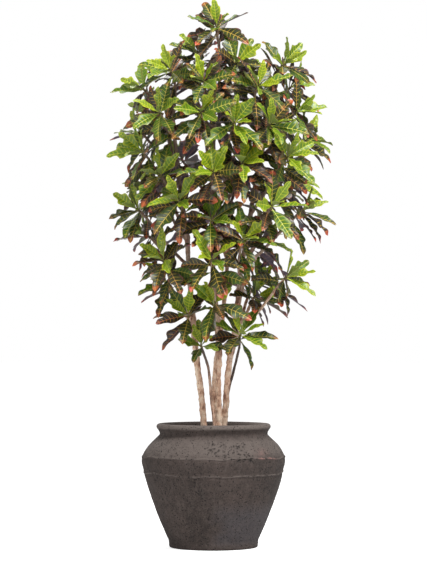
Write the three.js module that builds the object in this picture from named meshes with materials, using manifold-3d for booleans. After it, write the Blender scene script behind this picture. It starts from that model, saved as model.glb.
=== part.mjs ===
// A croton grown as a small tree with four trunks, in a round stoneware pot.
// Millimetres, +Z up. The origin is the middle of the pot's foot, on the floor.

import * as THREE from "three";
import { mergeVertices } from "three/addons/utils/BufferGeometryUtils.js";
import Module from "manifold-3d";

const wasm = await Module();
wasm.setup();

const { sin, cos, abs, ceil, hypot, min, max, PI } = Math;
const UP = new THREE.Vector3(0, 0, 1);
const DOWN = new THREE.Vector3(0, 0, -1);

// The pot. Each profile is a list of [radius, height].

const POT_SEGMENTS = 30;
const POT_FLOOR = 24; // thickness of the bottom
const POT_OUTSIDE = [
  [169, 0], [173, 30], [178, 38], // foot
  [236, 183], [262, 265], [270, 284], // tapering body and lower ridge
  [276, 330], [278, 347], [259, 377], [247, 392], [231, 408], // upper ridge and shoulder
  [209, 429], [207, 436], // neck
  [218, 456], [220, 463], [213, 472], [200, 471], // rolled rim
];
const POT_INSIDE = [
  [190, 455], [189, 437], [213, 398], [251, 362], [258, 335], [247, 264], [163, POT_FLOOR],
];
const SOIL_TOP = 452; // in the middle
const SOIL_EDGE = 445;
const SEAT_GAP = 0.35; // kept between pieces that touch
const SOIL_GAP = 0.45; // from the soil to the pot's wall, sideways
const POT_NECK_INSIDE = POT_INSIDE[1][0];

// The wood. Each trunk is a line of [x, y, z] with its radius at the bottom and at the top.

const TRUNK_DEPTH = 120; // below the soil's surface
const TRUNK_SIDES = 8;
const HOLE_WIDENING = 1.04; // a trunk's hole in the soil, as a share of the trunk
const LOWEST_BRANCH = 700; // above the floor
const TRUNKS = {
  left: {
    bottom: 12.5,
    top: 6.5,
    line: [
      [-35, 5, 450], [-45, 6, 562], [-60, 8, 682], [-69, 9, 762], [-77, 10, 839], [-94, 12, 1063],
      [-102, 14, 1197], [-129, 16, 1371], [-157, 18, 1640],
    ],
  },
  middle: {
    bottom: 12.5,
    top: 6.5,
    line: [
      [22, -14, 450], [18, -15, 562], [18, -17, 643], [21, -20, 742], [14, -24, 865], [0, -28, 1032],
      [-6, -36, 1332], [2, -46, 1640], [6, -56, 1860],
    ],
  },
  right: {
    bottom: 12.5,
    top: 6.5,
    line: [
      [38, 14, 450], [48, 10, 562], [55, 6, 643], [64, 3, 724], [79, 0, 790], [98, -4, 986], [106, -6, 1063],
      [141, -10, 1267], [156, -13, 1352], [171, -15, 1448], [190, -18, 1533], [198, -20, 1620],
    ],
  },
  back: {
    bottom: 11,
    top: 6,
    line: [
      [10, 44, 450], [6, 48, 562], [4, 52, 640], [14, 57, 740], [30, 64, 840], [48, 84, 1010],
      [58, 112, 1220], [46, 140, 1420], [40, 152, 1570],
    ],
  },
};
const THIN_STEMS = {
  side: {
    bottom: 5.5,
    top: 4.8,
    line: [[44, 40, 450], [52, 36, 562], [62, 30, 615], [84, 14, 700], [98, -30, 762], [100, -88, 806]],
  },
  sucker: {
    bottom: 5.5,
    top: 4.8,
    line: [[3, -50, 450], [1, -51, 490], [-8, -53, 562], [-14, -57, 630], [-22, -65, 693], [-45, -78, 764]],
  },
};

// The crowns: where each leafy shoot sits, on which trunk. The order matters, because each crown
// keeps clear of those before it.

const CROWNS = [
  [1, 13, -60, 1985, "middle"], [2, -58, 30, 1895, "middle"], [3, -160, -135, 1810, "left"],
  [4, -262, -10, 1752, "left"], [5, 262, -50, 1842, "right"], [6, 290, 70, 1768, "right"],
  [7, 85, -60, 1845, "middle"], [8, 165, -180, 1745, "right"], [9, -35, -170, 1765, "middle"],
  [10, -200, -175, 1645, "left"], [11, -45, -245, 1640, "middle"], [13, -275, 20, 1590, "left"],
  [14, 75, -225, 1600, "middle"], [15, 312, -60, 1660, "right"], [16, 210, -190, 1600, "right"],
  [17, 345, 50, 1560, "right"], [18, 190, 30, 1700, "right"], [19, -262, -120, 1500, "left"],
  [20, -195, -170, 1410, "left"], [21, 0, -262, 1415, "middle"], [22, -125, -235, 1310, "left"],
  [23, -282, -50, 1285, "left"], [24, -10, -200, 1240, "middle"], [25, 275, -150, 1480, "right"],
  [26, 290, 10, 1390, "right"], [27, 105, -225, 1450, "middle"], [28, 215, -205, 1290, "right"],
  [29, 335, -20, 1285, "right"], [30, -185, -165, 1090, "left"], [31, -5, -230, 1090, "middle"],
  [32, 110, -195, 1165, "right"], [33, 270, -110, 1025, "right"], [34, -165, -40, 1000, "left"],
  [35, 5, -165, 925, "middle"], [36, -95, -90, 880, "left"],
  [38, 155, -10, 955, "right"], [40, -245, 60, 1190, "left"],
  [42, -120, 150, 1840, "middle"], [43, 110, 140, 1810, "back"], [44, -225, 170, 1670, "left"],
  [45, 0, 230, 1680, "back"], [46, 225, 190, 1630, "back"], [47, -120, 250, 1500, "back"],
  [48, 120, 265, 1480, "back"], [49, -240, 175, 1390, "left"], [50, 265, 200, 1380, "right"],
  [51, 0, 270, 1300, "back"], [53, 180, 220, 1180, "right"],
  [56, 165, 130, 1010, "right"],
].map(([number, x, y, z, trunk]) => ({ number, trunk, place: new THREE.Vector3(x, y, z) }));
const STEM_CROWNS = [[37, "side"], [41, "sucker"]].map(([number, trunk]) => (
  { number, trunk, place: new THREE.Vector3(...THIN_STEMS[trunk].line.at(-1)) }));
const ALL_CROWNS = [...CROWNS, ...STEM_CROWNS];
const LEAF_SHARES = { sucker: 0.75 }; // how long its leaves are, set against the other shoots' leaves

const BRANCH = { bottom: 6.5, top: 4.8, sides: 4, steps: 3 };
const BRANCH_BEND = { out: 0.3, up: 0.2, arrive: 0.3, bowLeft: 0.5 }; // as shares of the span
const BRANCH_DROP = 70; // a branch leaves its trunk this far below its crown
const BRANCH_DROP_PER_REACH = 0.75; // and this much more for each millimetre sideways
const BRANCH_FORK = 75; // this far from where it leaves, a branch may touch its own trunk
const FORK_BELOW_TOP = 4; // the highest fork is this far below the trunk's top
const EXTRA_DROPS = [0, 60, -40, 120, 180]; // tried in turn, until a branch is clear of other wood
const SIDE_BOWS = [0, 0.15, -0.15, 0.32, -0.32, 0.5, -0.5]; // as shares of the branch's span
const WOOD_CLEARANCE = 5; // between the bark of two branches
const WOOD_SPACING = 12; // between the points that mark where wood is
const CROWN_LEAN_MIDDLE = 30; // degrees from upright, at the middle of the tree
const CROWN_LEAN_OUTSIDE = 54; // and at the outside
const TREE_RADIUS = 340; // where a crown leans out as far as it goes
const TOWARDS_LIGHT = 150; // the middle that crowns lean away from lies this far back

// The leafy shoot: a six-sided stem tip with three whorls, each leaf growing from one side of it.

const SHOOT_RADIUS = 4.8;
const SHOOT_SIDES = 6;
const WHORL_HEIGHT = 6.5;
const SHOOT_TIP = 9;
const WHORLS = [
  // lowest and oldest first: length, degrees from the shoot's axis, and droop over the length
  { length: [126, 150], polar: [64, 92], droop: [0.06, 0.24], leaves: 3 },
  { length: [116, 140], polar: [46, 68], droop: [0.03, 0.16], leaves: 3 },
  { length: [92, 118], polar: [22, 44], droop: [0, 0.1], leaves: 3 },
];
const AZIMUTH_PLAY = 24; // degrees to each side
const ROLL_PLAY = 34;
const RING_TAPER = 0.08; // the stem tip narrows by this share over each whorl
const TRIES = 14;
const OLD_LEAVES_BELOW = 1100; // shoots below this height have dark old leaves
const LEAF_CLEARANCE = 3.8; // between two leaves
const LEAF_TO_BARK = 7;
const EDGE_SHARES = [0, 0.25, 0.5, 0.75]; // where a leaf's triangle edges are tested against wood

// The leaf: a wedge-shaped base that widens to two side lobes, a waist, and a pointed middle lobe.
// Along is a share of the length from the stem, and half-widths are shares of it too.

const LEAF = {
  lobe: { along: 0.59, half: 0.215, ribAlong: 0.42 },
  waist: { along: 0.7, half: 0.1 },
  tip: { along: 0.87, half: 0.1 },
  fold: 0.34, // how far the edges lift, as a share of the half-width
  ribThickness: 2,
  clearStart: 0.17, // from here on, leaves of one shoot keep LEAF_CLEARANCE apart
  rootEnd: 0.05, // and from here on they don't cross
  rootThickness: 4,
  reach: 0.62, // leaves whose middles are further apart than this share of their lengths can't touch
};

// Colours: middle leaves, old leaves, bark, dark young bark, soil and stoneware.

const FINISH = {
  leaf: { color: 0x4c7a26, roughness: 0.45, metalness: 0 },
  oldLeaf: { color: 0x2d3a20, roughness: 0.45, metalness: 0 },
  bark: { color: 0xb08f74, roughness: 0.85, metalness: 0 },
  youngBark: { color: 0x4e4438, roughness: 0.8, metalness: 0 },
  soil: { color: 0x2b231d, roughness: 1, metalness: 0 },
  stoneware: { color: 0x5b4f4b, roughness: 0.9, metalness: 0 },
};

const croton = new THREE.Group();

/** Adds a closed geometry to the tree as a named mesh. */
function addPiece(name, geometry, finish) {
  const mesh = new THREE.Mesh(geometry, new THREE.MeshStandardMaterial(finish));
  mesh.name = name;
  croton.add(mesh);
}

/** A geometry from a list of points and a list of triangles, three indices each. */
function geometryOf(points, triangles) {
  const geometry = new THREE.BufferGeometry();
  const numbers = points.flatMap((point) => point.toArray());
  geometry.setAttribute("position", new THREE.Float32BufferAttribute(numbers, 3));
  geometry.setIndex(triangles.flat());
  return geometry;
}

/** The solid of a closed geometry, for joining and cutting. */
function solidOf(geometry) {
  const bare = geometry.clone();
  bare.deleteAttribute("normal");
  bare.deleteAttribute("uv");
  const merged = mergeVertices(bare, 1e-3);
  return new wasm.Manifold(new wasm.Mesh({
    numProp: 3,
    vertProperties: new Float32Array(merged.attributes.position.array),
    triVerts: new Uint32Array(merged.index.array),
  }));
}

/** The geometry of a solid. */
function geometryOfSolid(solid) {
  const mesh = solid.getMesh();
  const geometry = new THREE.BufferGeometry();
  geometry.setAttribute("position", new THREE.Float32BufferAttribute(mesh.vertProperties, 3));
  geometry.setIndex([...mesh.triVerts]);
  return geometry;
}

/** A solid of revolution about the Z axis. */
function turned(profile) {
  const points = profile.map(([radius, height]) => new THREE.Vector2(radius, height));
  return new THREE.LatheGeometry(points, POT_SEGMENTS).rotateX(PI / 2);
}

/** A value between the two ends of a range. */
function between([low, high], share) {
  return low + (high - low) * share;
}

/** A seeded generator of numbers between 0 and 1, the same in any language. */
function seededDraws(seed) {
  const factor = 48271;
  const modulus = 2147483647;
  const spread = 7919; // keeps neighbouring seeds' draws apart
  let state = seed * spread + 17;
  return () => {
    state = (state * factor) % modulus;
    return state / modulus;
  };
}

// Wood

/** A point on a line of points, at a height, by straight steps between its points. */
function pointAtHeight(line, height) {
  let k = 1;
  while (k < line.length - 1 && line[k].z < height) k += 1;
  const share = (height - line[k - 1].z) / (line[k].z - line[k - 1].z);
  return line[k - 1].clone().lerp(line[k], min(max(share, 0), 1));
}

/** A tapering stem along a list of points, closed at both ends. The last end may face its own way. */
function stemAlong(points, bottom, top, sides, endDirection) {
  const vertices = [];
  const triangles = [];
  const last = points.length - 1;
  points.forEach((point, k) => {
    const along = k === last && endDirection ? endDirection
      : points[min(k + 1, last)].clone().sub(points[max(k - 1, 0)]).normalize();
    const across = new THREE.Vector3(0, 1, 0).cross(along).normalize();
    const over = along.clone().cross(across);
    const radius = between([bottom, top], k / last);
    for (let side = 0; side < sides; side += 1) {
      const angle = (2 * PI * side) / sides;
      vertices.push(point.clone()
        .addScaledVector(across, radius * cos(angle))
        .addScaledVector(over, radius * sin(angle)));
    }
  });
  for (let k = 0; k < last; k += 1) {
    for (let side = 0; side < sides; side += 1) {
      const next = (side + 1) % sides;
      const [a, b] = [k * sides + side, k * sides + next];
      triangles.push([a, b, b + sides], [a, b + sides, a + sides]);
    }
  }
  for (let side = 1; side < sides - 1; side += 1) {
    triangles.push([0, side + 1, side]);
    triangles.push([last * sides, last * sides + side, last * sides + side + 1]);
  }
  return geometryOf(vertices, triangles);
}

/** The points of a trunk's line, with one more below the soil. */
function trunkPoints(line) {
  const places = line.map(([x, y, z]) => new THREE.Vector3(x, y, z));
  return [places[0].clone().setZ(places[0].z - TRUNK_DEPTH), ...places];
}

/** The direction a crown faces: outward, more so further out, and towards the light in front. */
function crownAxis(place) {
  const { x } = place;
  const y = place.y - TOWARDS_LIGHT;
  const reach = hypot(x, y);
  const lean = (between([CROWN_LEAN_MIDDLE, CROWN_LEAN_OUTSIDE], min(reach / TREE_RADIUS, 1)) * PI) / 180;
  return new THREE.Vector3((x / reach) * sin(lean), (y / reach) * sin(lean), cos(lean));
}

/** A branch from its trunk to the foot of its crown, for one try at a route. */
function branchPoints(trunk, crown, extraDrop, sideways) {
  const axis = crownAxis(crown.place);
  const end = crown.place.clone().addScaledVector(axis, -SEAT_GAP);
  const top = trunk[trunk.length - 1];
  const nearby = pointAtHeight(trunk, crown.place.z);
  const reach = hypot(end.x - nearby.x, end.y - nearby.y);
  const drop = BRANCH_DROP + BRANCH_DROP_PER_REACH * reach + extraDrop;
  const start = pointAtHeight(trunk, min(max(end.z - drop, LOWEST_BRANCH), top.z - FORK_BELOW_TOP));
  const span = end.distanceTo(start);
  const outward = end.clone().sub(start).setZ(0).normalize();
  const aside = outward.clone().cross(UP).multiplyScalar(sideways * span);
  const { out, up, arrive: before, bowLeft } = BRANCH_BEND;
  const rise = start.clone()
    .addScaledVector(outward, out * span).addScaledVector(UP, up * span).add(aside);
  const arrive = end.clone().addScaledVector(axis, -before * span).addScaledVector(aside, bowLeft);
  return new THREE.CubicBezierCurve3(start, rise, arrive, end).getPoints(BRANCH.steps);
}

/** Whether a branch keeps clear of wood already placed. Near its fork it may meet its own trunk. */
function woodIsClear(points, own, placed) {
  return points.every((point) => placed.every((other) => (
    (other.trunk === own && point.distanceTo(points[0]) < BRANCH_FORK)
    || point.distanceTo(other.point) >= BRANCH.bottom + other.radius + WOOD_CLEARANCE)));
}

/** The points of a broken line, with each straight step divided evenly. */
function divided(points) {
  return points.slice(1).flatMap((point, k) => {
    const parts = ceil(points[k].distanceTo(point) / WOOD_SPACING);
    return Array.from({ length: parts }, (_, part) => points[k].clone().lerp(point, part / parts));
  }).concat([points.at(-1)]);
}

/** Notes the wood along a line, so that later wood and the leaves keep clear of it. */
function noteWood(points, bottom, top, trunk, placed) {
  const marks = divided(points);
  marks.forEach((point, k) => {
    placed.push({ point, radius: between([bottom, top], k / (marks.length - 1)), trunk });
  });
}

/** Finds each branch's route and returns the wood's lines: trunks, branches and the noted wood. */
function routeWood() {
  const placed = [];
  const trunks = {};
  for (const [name, { bottom, top, line }] of Object.entries({ ...TRUNKS, ...THIN_STEMS })) {
    const points = trunkPoints(line);
    trunks[name] = { points, branches: [] };
    noteWood(points, bottom, top, name, placed);
  }
  for (const crown of CROWNS) {
    const trunk = trunks[crown.trunk];
    const routes = EXTRA_DROPS.flatMap((drop) => (
      SIDE_BOWS.map((bow) => branchPoints(trunk.points, crown, drop, bow))));
    const clear = routes.find((route) => woodIsClear(divided(route), crown.trunk, placed));
    const points = clear ?? routes[0];
    noteWood(points, BRANCH.bottom, BRANCH.top, crown.trunk, placed);
    trunk.branches.push({ points, endDirection: crownAxis(crown.place) });
  }
  for (const { place } of ALL_CROWNS) {
    const tip = place.clone().addScaledVector(crownAxis(place), WHORLS.length * WHORL_HEIGHT + SHOOT_TIP);
    noteWood([place, tip], SHOOT_RADIUS, SHOOT_RADIUS, "shoot", placed);
  }
  return { trunks, placed };
}

// Leaves

/** The frame of a leaf's midrib at a share of its length: place, side and face directions. */
function ribFrame(leaf, along) {
  const place = leaf.root.clone()
    .addScaledVector(leaf.direction, leaf.length * along)
    .addScaledVector(DOWN, leaf.length * leaf.droop * along * along);
  const tangent = leaf.direction.clone().addScaledVector(DOWN, 2 * leaf.droop * along).normalize();
  const level = leaf.side.clone().addScaledVector(tangent, -leaf.side.dot(tangent)).normalize();
  const face = tangent.clone().cross(level);
  const side = level.clone().multiplyScalar(cos(leaf.roll)).addScaledVector(face, sin(leaf.roll));
  return { place, side, face: tangent.cross(side) };
}

/** A point of the leaf: a share of its length along, a signed share of it across, and an offset. */
function leafPoint(leaf, along, across, offset) {
  const { place, side, face } = ribFrame(leaf, along);
  return place
    .addScaledVector(side, across * leaf.length)
    .addScaledVector(face, LEAF.fold * abs(across) * leaf.length + offset);
}

/** The leaf's edge points and midrib points, moved by an offset from its middle surface. */
function leafOutline(leaf, offset) {
  const { lobe, waist, tip } = LEAF;
  const at = (along, across) => leafPoint(leaf, along, across, offset);
  return {
    left: at(lobe.along, lobe.half),
    rib1: at(lobe.ribAlong, 0),
    right: at(lobe.along, -lobe.half),
    leftWaist: at(waist.along, waist.half),
    rib2: at(waist.along, 0),
    rightWaist: at(waist.along, -waist.half),
    leftTip: at(tip.along, tip.half),
    rightTip: at(tip.along, -tip.half),
    end: at(1, 0),
  };
}

/** A leaf as one sheet of triangles, without thickness, to test where it would cross another. */
function leafSheet(leaf, offset, startAlong, startOffset = offset) {
  const o = leafOutline(leaf, offset);
  const start = leafPoint(leaf, startAlong, 0, startOffset);
  return [
    [start, o.right, o.rib1], [start, o.rib1, o.left],
    [o.left, o.rib1, o.rib2], [o.left, o.rib2, o.leftWaist],
    [o.rib1, o.right, o.rib2], [o.right, o.rightWaist, o.rib2],
    [o.leftWaist, o.rib2, o.leftTip], [o.rib2, o.end, o.leftTip],
    [o.rib2, o.rightTip, o.end], [o.rib2, o.rightWaist, o.rightTip],
  ];
}

/** Whether the line from one point to another passes through a triangle. */
function pierces(from, to, [a, b, c]) {
  const along = to.clone().sub(from);
  const ab = b.clone().sub(a);
  const ac = c.clone().sub(a);
  const normal = along.clone().cross(ac);
  const facing = ab.dot(normal);
  if (abs(facing) < 1e-9) return false;
  const offset = from.clone().sub(a);
  const u = offset.dot(normal) / facing;
  if (u < 0 || u > 1) return false;
  const turned = offset.cross(ab);
  const v = along.dot(turned) / facing;
  if (v < 0 || u + v > 1) return false;
  const share = ac.dot(turned) / facing;
  return share >= 0 && share <= 1;
}

/** Whether two sheets of triangles cross. */
function sheetsCross(one, other) {
  const edgesPierce = (sheet, target) => sheet.some((triangle) => triangle.some((corner, k) => (
    target.some((face) => pierces(corner, triangle[(k + 1) % 3], face)))));
  return edgesPierce(one, other) || edgesPierce(other, one);
}

/** A leaf's two faces as sheets, as far apart at the stem as the wedge of the leaf's base. */
function leafFaces(leaf) {
  return [1, -1].map((way) => (
    leafSheet(leaf, (way * LEAF.ribThickness) / 2, LEAF.rootEnd, way * LEAF.rootThickness / 2)));
}

/** Whether a leaf keeps clear of the leaves placed so far, and of the wood. */
function leafIsClear(leaf, placedLeaves, wood) {
  const offsets = [0, LEAF_CLEARANCE, -LEAF_CLEARANCE];
  const sheets = offsets.map((offset) => leafSheet(leaf, offset, LEAF.clearStart));
  const wholeSheets = offsets.map((offset) => leafSheet(leaf, offset, 0));
  const faces = leafFaces(leaf);
  const corners = sheets[0].flat();
  const nextCorner = (k) => corners[k - (k % 3) + ((k + 1) % 3)];
  const onEdges = EDGE_SHARES.flatMap((share) => (
    corners.map((corner, k) => corner.clone().lerp(nextCorner(k), share))));
  const touchesWood = wood.some(({ point, radius }) => (
    point.distanceTo(leaf.middle) < leaf.length
    && onEdges.some((place) => place.distanceTo(point) < radius + LEAF_TO_BARK)));
  if (touchesWood) return false;
  return !placedLeaves.some((other) => (
    other.middle.distanceTo(leaf.middle) < LEAF.reach * (other.length + leaf.length)
    && (other.crown === leaf.crown
      ? faces.some((face) => other.faces.some((otherFace) => sheetsCross(face, otherFace)))
        || sheets.some((sheet) => sheetsCross(sheet, other.sheet))
      : wholeSheets.some((sheet) => sheetsCross(sheet, other.wholeSheet)))));
}

/** The stem tip's rings of corners, one ring for each end of a whorl. */
function stemRings(crown, axis, first, second) {
  return Array.from({ length: WHORLS.length + 1 }, (_, ring) => {
    const radius = SHOOT_RADIUS * (1 - RING_TAPER * ring);
    const middle = crown.place.clone().addScaledVector(axis, ring * WHORL_HEIGHT);
    return Array.from({ length: SHOOT_SIDES }, (__, k) => middle.clone()
      .addScaledVector(first, radius * cos((k * PI) / 3))
      .addScaledVector(second, radius * sin((k * PI) / 3)));
  });
}

/** Places a crown's leaves: each is tried at varied angles until it is clear, or is left out. The
 * draws come in one order: the crown's turn, then azimuth, polar, length, droop and roll. */
function placeLeaves(crown, placedLeaves, wood) {
  const axis = crownAxis(crown.place);
  const draw = seededDraws(crown.number);
  const level = new THREE.Vector3(-axis.y, axis.x, 0).normalize();
  const turn = draw() * 2 * PI;
  const upright = axis.clone().cross(level);
  const first = level.clone().multiplyScalar(cos(turn)).addScaledVector(upright, sin(turn));
  const second = axis.clone().cross(first);
  const rings = stemRings(crown, axis, first, second);
  const lengthShare = LEAF_SHARES[crown.trunk] ?? 1;
  const leaves = [];
  WHORLS.forEach((whorl, ring) => {
    for (let k = 0; k < whorl.leaves; k += 1) {
      const sideNumber = (2 * k + ring) % SHOOT_SIDES;
      const next = (sideNumber + 1) % SHOOT_SIDES;
      const root = rings[ring][sideNumber].clone().add(rings[ring + 1][next]).multiplyScalar(0.5);
      for (let attempt = 0; attempt < TRIES; attempt += 1) {
        const azimuth = ((sideNumber + 0.5) * PI) / 3 + ((2 * draw() - 1) * AZIMUTH_PLAY * PI) / 180;
        const polar = (between(whorl.polar, draw()) * PI) / 180;
        const outward = first.clone().multiplyScalar(cos(azimuth)).addScaledVector(second, sin(azimuth));
        const direction = axis.clone().multiplyScalar(cos(polar)).addScaledVector(outward, sin(polar));
        const leaf = {
          crown: crown.number,
          root,
          direction,
          side: axis.clone().cross(outward),
          length: between(whorl.length, draw()) * lengthShare,
          droop: between(whorl.droop, draw()) * hypot(direction.x, direction.y), // none if upright
          roll: ((2 * draw() - 1) * ROLL_PLAY * PI) / 180,
          ring,
          sideNumber,
        };
        leaf.middle = leafPoint(leaf, 0.5, 0, 0);
        if (leafIsClear(leaf, placedLeaves, wood)) {
          leaf.sheet = leafSheet(leaf, 0, LEAF.clearStart);
          leaf.faces = leafFaces(leaf);
          leaf.wholeSheet = leafSheet(leaf, 0, 0);
          placedLeaves.push(leaf);
          leaves.push(leaf);
          break;
        }
      }
    }
  });
  return { axis, rings, leaves };
}

/** The closed solid of a leafy shoot: the stem tip, with each leaf growing from one side of it. */
function shootGeometry(crown, { axis, rings, leaves }) {
  const points = rings.flat();
  const triangles = [];
  const corner = (ring, side) => ring * SHOOT_SIDES + (side % SHOOT_SIDES);
  for (let side = 1; side < SHOOT_SIDES - 1; side += 1) triangles.push([0, side + 1, side]);
  const top = rings.length - 1;
  points.push(crown.place.clone().addScaledVector(axis, top * WHORL_HEIGHT + SHOOT_TIP));
  const tip = points.length - 1;
  for (let side = 0; side < SHOOT_SIDES; side += 1) {
    triangles.push([corner(top, side), corner(top, side + 1), tip]);
  }
  for (let ring = 0; ring < top; ring += 1) {
    for (let side = 0; side < SHOOT_SIDES; side += 1) {
      const [a, b] = [corner(ring, side), corner(ring, side + 1)];
      const [c, d] = [corner(ring + 1, side + 1), corner(ring + 1, side)];
      const leaf = leaves.find((one) => one.ring === ring && one.sideNumber === side);
      if (!leaf) {
        triangles.push([a, b, c], [a, c, d]);
      } else {
        growLeaf(points, triangles, leaf, { lowRight: a, lowLeft: b, highLeft: c, highRight: d });
      }
    }
  }
  return geometryOf(points, triangles);
}

/** Adds a leaf's points and triangles, alike on both faces, from the four corners of its root. */
function growLeaf(points, triangles, leaf, root) {
  const edge = leafOutline(leaf, 0);
  const above = leafOutline(leaf, LEAF.ribThickness / 2);
  const below = leafOutline(leaf, -LEAF.ribThickness / 2);
  const add = (point) => points.push(point) - 1;
  const [left, right] = [add(edge.left), add(edge.right)];
  const [leftWaist, rightWaist] = [add(edge.leftWaist), add(edge.rightWaist)];
  const [leftTip, rightTip, end] = [add(edge.leftTip), add(edge.rightTip), add(edge.end)];
  const face = (rootLeft, rootRight, rib1, rib2) => [
    [rootLeft, rootRight, rib1], [rootRight, right, rib1], [rootLeft, rib1, left],
    [left, rib1, rib2], [left, rib2, leftWaist], [rib1, right, rib2], [right, rightWaist, rib2],
    [leftWaist, rib2, leftTip], [rib2, end, leftTip], [rib2, rightTip, end], [rib2, rightWaist, rightTip],
  ];
  triangles.push(...face(root.highLeft, root.highRight, add(above.rib1), add(above.rib2)));
  triangles.push(...face(root.lowLeft, root.lowRight, add(below.rib1), add(below.rib2))
    .map(([a, b, c]) => [a, c, b]));
  triangles.push([root.highLeft, left, root.lowLeft], [right, root.highRight, root.lowRight]);
}

// The tree is put together

const { trunks, placed: wood } = routeWood();

addPiece("pot", turned([[0, 0], ...POT_OUTSIDE, ...POT_INSIDE, [0, POT_FLOOR]]), FINISH.stoneware);

const soilSide = [...POT_INSIDE].reverse().slice(0, -1)
  .map(([radius, height]) => [radius - SOIL_GAP, height]);
soilSide[0][1] += SEAT_GAP;
const soilTop = [[POT_NECK_INSIDE - SOIL_GAP, SOIL_EDGE], [0, SOIL_TOP]];
let soil = solidOf(turned([[0, POT_FLOOR + SEAT_GAP], ...soilSide, ...soilTop]));
for (const { bottom, line } of Object.values({ ...TRUNKS, ...THIN_STEMS })) {
  const hole = trunkPoints(line).slice(0, 3);
  hole[0].z -= SEAT_GAP;
  const radius = HOLE_WIDENING * bottom + SEAT_GAP;
  soil = soil.subtract(solidOf(stemAlong(hole, radius, radius, TRUNK_SIDES)));
}
addPiece("soil", geometryOfSolid(soil), FINISH.soil);

for (const [name, { bottom, top, line }] of Object.entries(TRUNKS)) {
  let piece = solidOf(stemAlong(trunkPoints(line), bottom, top, TRUNK_SIDES));
  for (const { points, endDirection } of trunks[name].branches) {
    piece = piece.add(solidOf(stemAlong(points, BRANCH.bottom, BRANCH.top, BRANCH.sides, endDirection)));
  }
  addPiece(`wood_${name}`, geometryOfSolid(piece), FINISH.bark);
}

for (const { trunk, place } of STEM_CROWNS) {
  const { bottom, top, line } = THIN_STEMS[trunk];
  const points = trunkPoints(line);
  const endDirection = crownAxis(place);
  points.at(-1).addScaledVector(endDirection, -SEAT_GAP);
  addPiece(`${trunk}_stem`, stemAlong(points, bottom, top, SHOOT_SIDES, endDirection), FINISH.youngBark);
}

const placedLeaves = [];
for (const crown of ALL_CROWNS) {
  const shoot = placeLeaves(crown, placedLeaves, wood);
  const name = `leafy_shoot_${String(crown.number).padStart(2, "0")}`;
  const finish = crown.place.z < OLD_LEAVES_BELOW ? FINISH.oldLeaf : FINISH.leaf;
  addPiece(name, shootGeometry(crown, shoot), finish);
}

export default croton;
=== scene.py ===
"""A croton grown as a small tree with four trunks and two thin stems, in a round stoneware pot.

The wood and the leaves follow one rule with seeded draws, worked out in millimetres. Meshes are in
metres, with Z up and the origin at the middle of the pot's foot, on the floor of a plain studio.
"""

from __future__ import annotations

import logging
import math
from collections.abc import Sequence
from dataclasses import dataclass, field, replace
from enum import Enum, IntEnum

import bpy
import numpy as np
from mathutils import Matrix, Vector

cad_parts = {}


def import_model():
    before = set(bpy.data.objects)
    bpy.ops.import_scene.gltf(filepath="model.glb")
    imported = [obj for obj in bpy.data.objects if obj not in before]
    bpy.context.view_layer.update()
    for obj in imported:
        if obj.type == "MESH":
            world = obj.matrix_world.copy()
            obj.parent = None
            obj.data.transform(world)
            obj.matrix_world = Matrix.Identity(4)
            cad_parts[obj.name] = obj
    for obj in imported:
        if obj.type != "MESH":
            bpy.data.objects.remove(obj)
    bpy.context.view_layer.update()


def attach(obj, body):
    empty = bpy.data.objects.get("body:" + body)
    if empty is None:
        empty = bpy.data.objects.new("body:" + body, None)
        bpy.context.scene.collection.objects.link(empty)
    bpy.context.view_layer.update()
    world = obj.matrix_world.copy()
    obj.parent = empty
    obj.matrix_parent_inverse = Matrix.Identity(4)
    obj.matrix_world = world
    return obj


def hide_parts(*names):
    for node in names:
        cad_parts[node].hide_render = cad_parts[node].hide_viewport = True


LOG = logging.getLogger("potted_croton")
MM = 0.001
UP = np.array([0.0, 0.0, 1.0])
FULL_TURN = 2 * math.pi
GOLDEN_TURN = math.radians(137.5)
BRANCH_RADII = (6.5, 4.8)
SHOOT_RADIUS = 4.8
Range = tuple[float, float]
Colour = tuple[float, float, float]
Point = tuple[float, float, float]
Stops = Sequence[tuple[float, Colour]]


class Seed(IntEnum):
    """Where rows of draws start. Crowns, trunks, ridges and leaves add their own numbers."""

    WHORLS = 0
    AGES = 1
    RIDGES = 71
    WALL = 83
    PITS = 97
    MORE_LEAVES = 100
    SOIL = 113
    CRUMBS = 127
    BLADES = 300
    WOOD = 500
    THIN_STEMS = 520


def rgb(red: int, green: int, blue: int) -> Colour:
    """A linear colour from display values of 0 to 255.

    Args:
        red: Red, as displayed.
        green: Green, as displayed.
        blue: Blue, as displayed.

    Returns:
        The colour in linear light.
    """
    linear = []
    for value in (red / 255, green / 255, blue / 255):
        linear.append(value / 12.92 if value <= 0.04045 else ((value + 0.055) / 1.055) ** 2.4)
    return tuple(linear)


def unit(vectors: np.ndarray) -> np.ndarray:
    """Vectors scaled to a length of one."""
    return vectors / np.linalg.norm(vectors, axis=-1, keepdims=True)


def between(ends: Sequence[float], share: float) -> float:
    """A value between the two ends of a range."""
    return ends[0] + (ends[1] - ends[0]) * share


def smooth_step(values: np.ndarray, low: float, high: float) -> np.ndarray:
    """A soft step from 0 at low to 1 at high."""
    share = np.clip((values - low) / (high - low), 0, 1)
    return share * share * (3 - 2 * share)


def hump(values: np.ndarray, middle: float | np.ndarray, width: float) -> np.ndarray:
    """A bell shape of height one round a middle."""
    return np.exp(-(((values - middle) / width) ** 2))


def round_angles(count: int) -> np.ndarray:
    """Angles spread evenly over a full turn, from 0."""
    return FULL_TURN * np.arange(count) / count


def angles_from(angles: np.ndarray, start: float) -> np.ndarray:
    """Signed angles from a start, at most half a turn either way."""
    return (angles - start + math.pi) % FULL_TURN - math.pi


def lengths_along(line: np.ndarray) -> np.ndarray:
    """How far along a line of points each of them lies."""
    return np.concatenate([[0], np.cumsum(np.linalg.norm(np.diff(line, axis=0), axis=1))])


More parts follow.
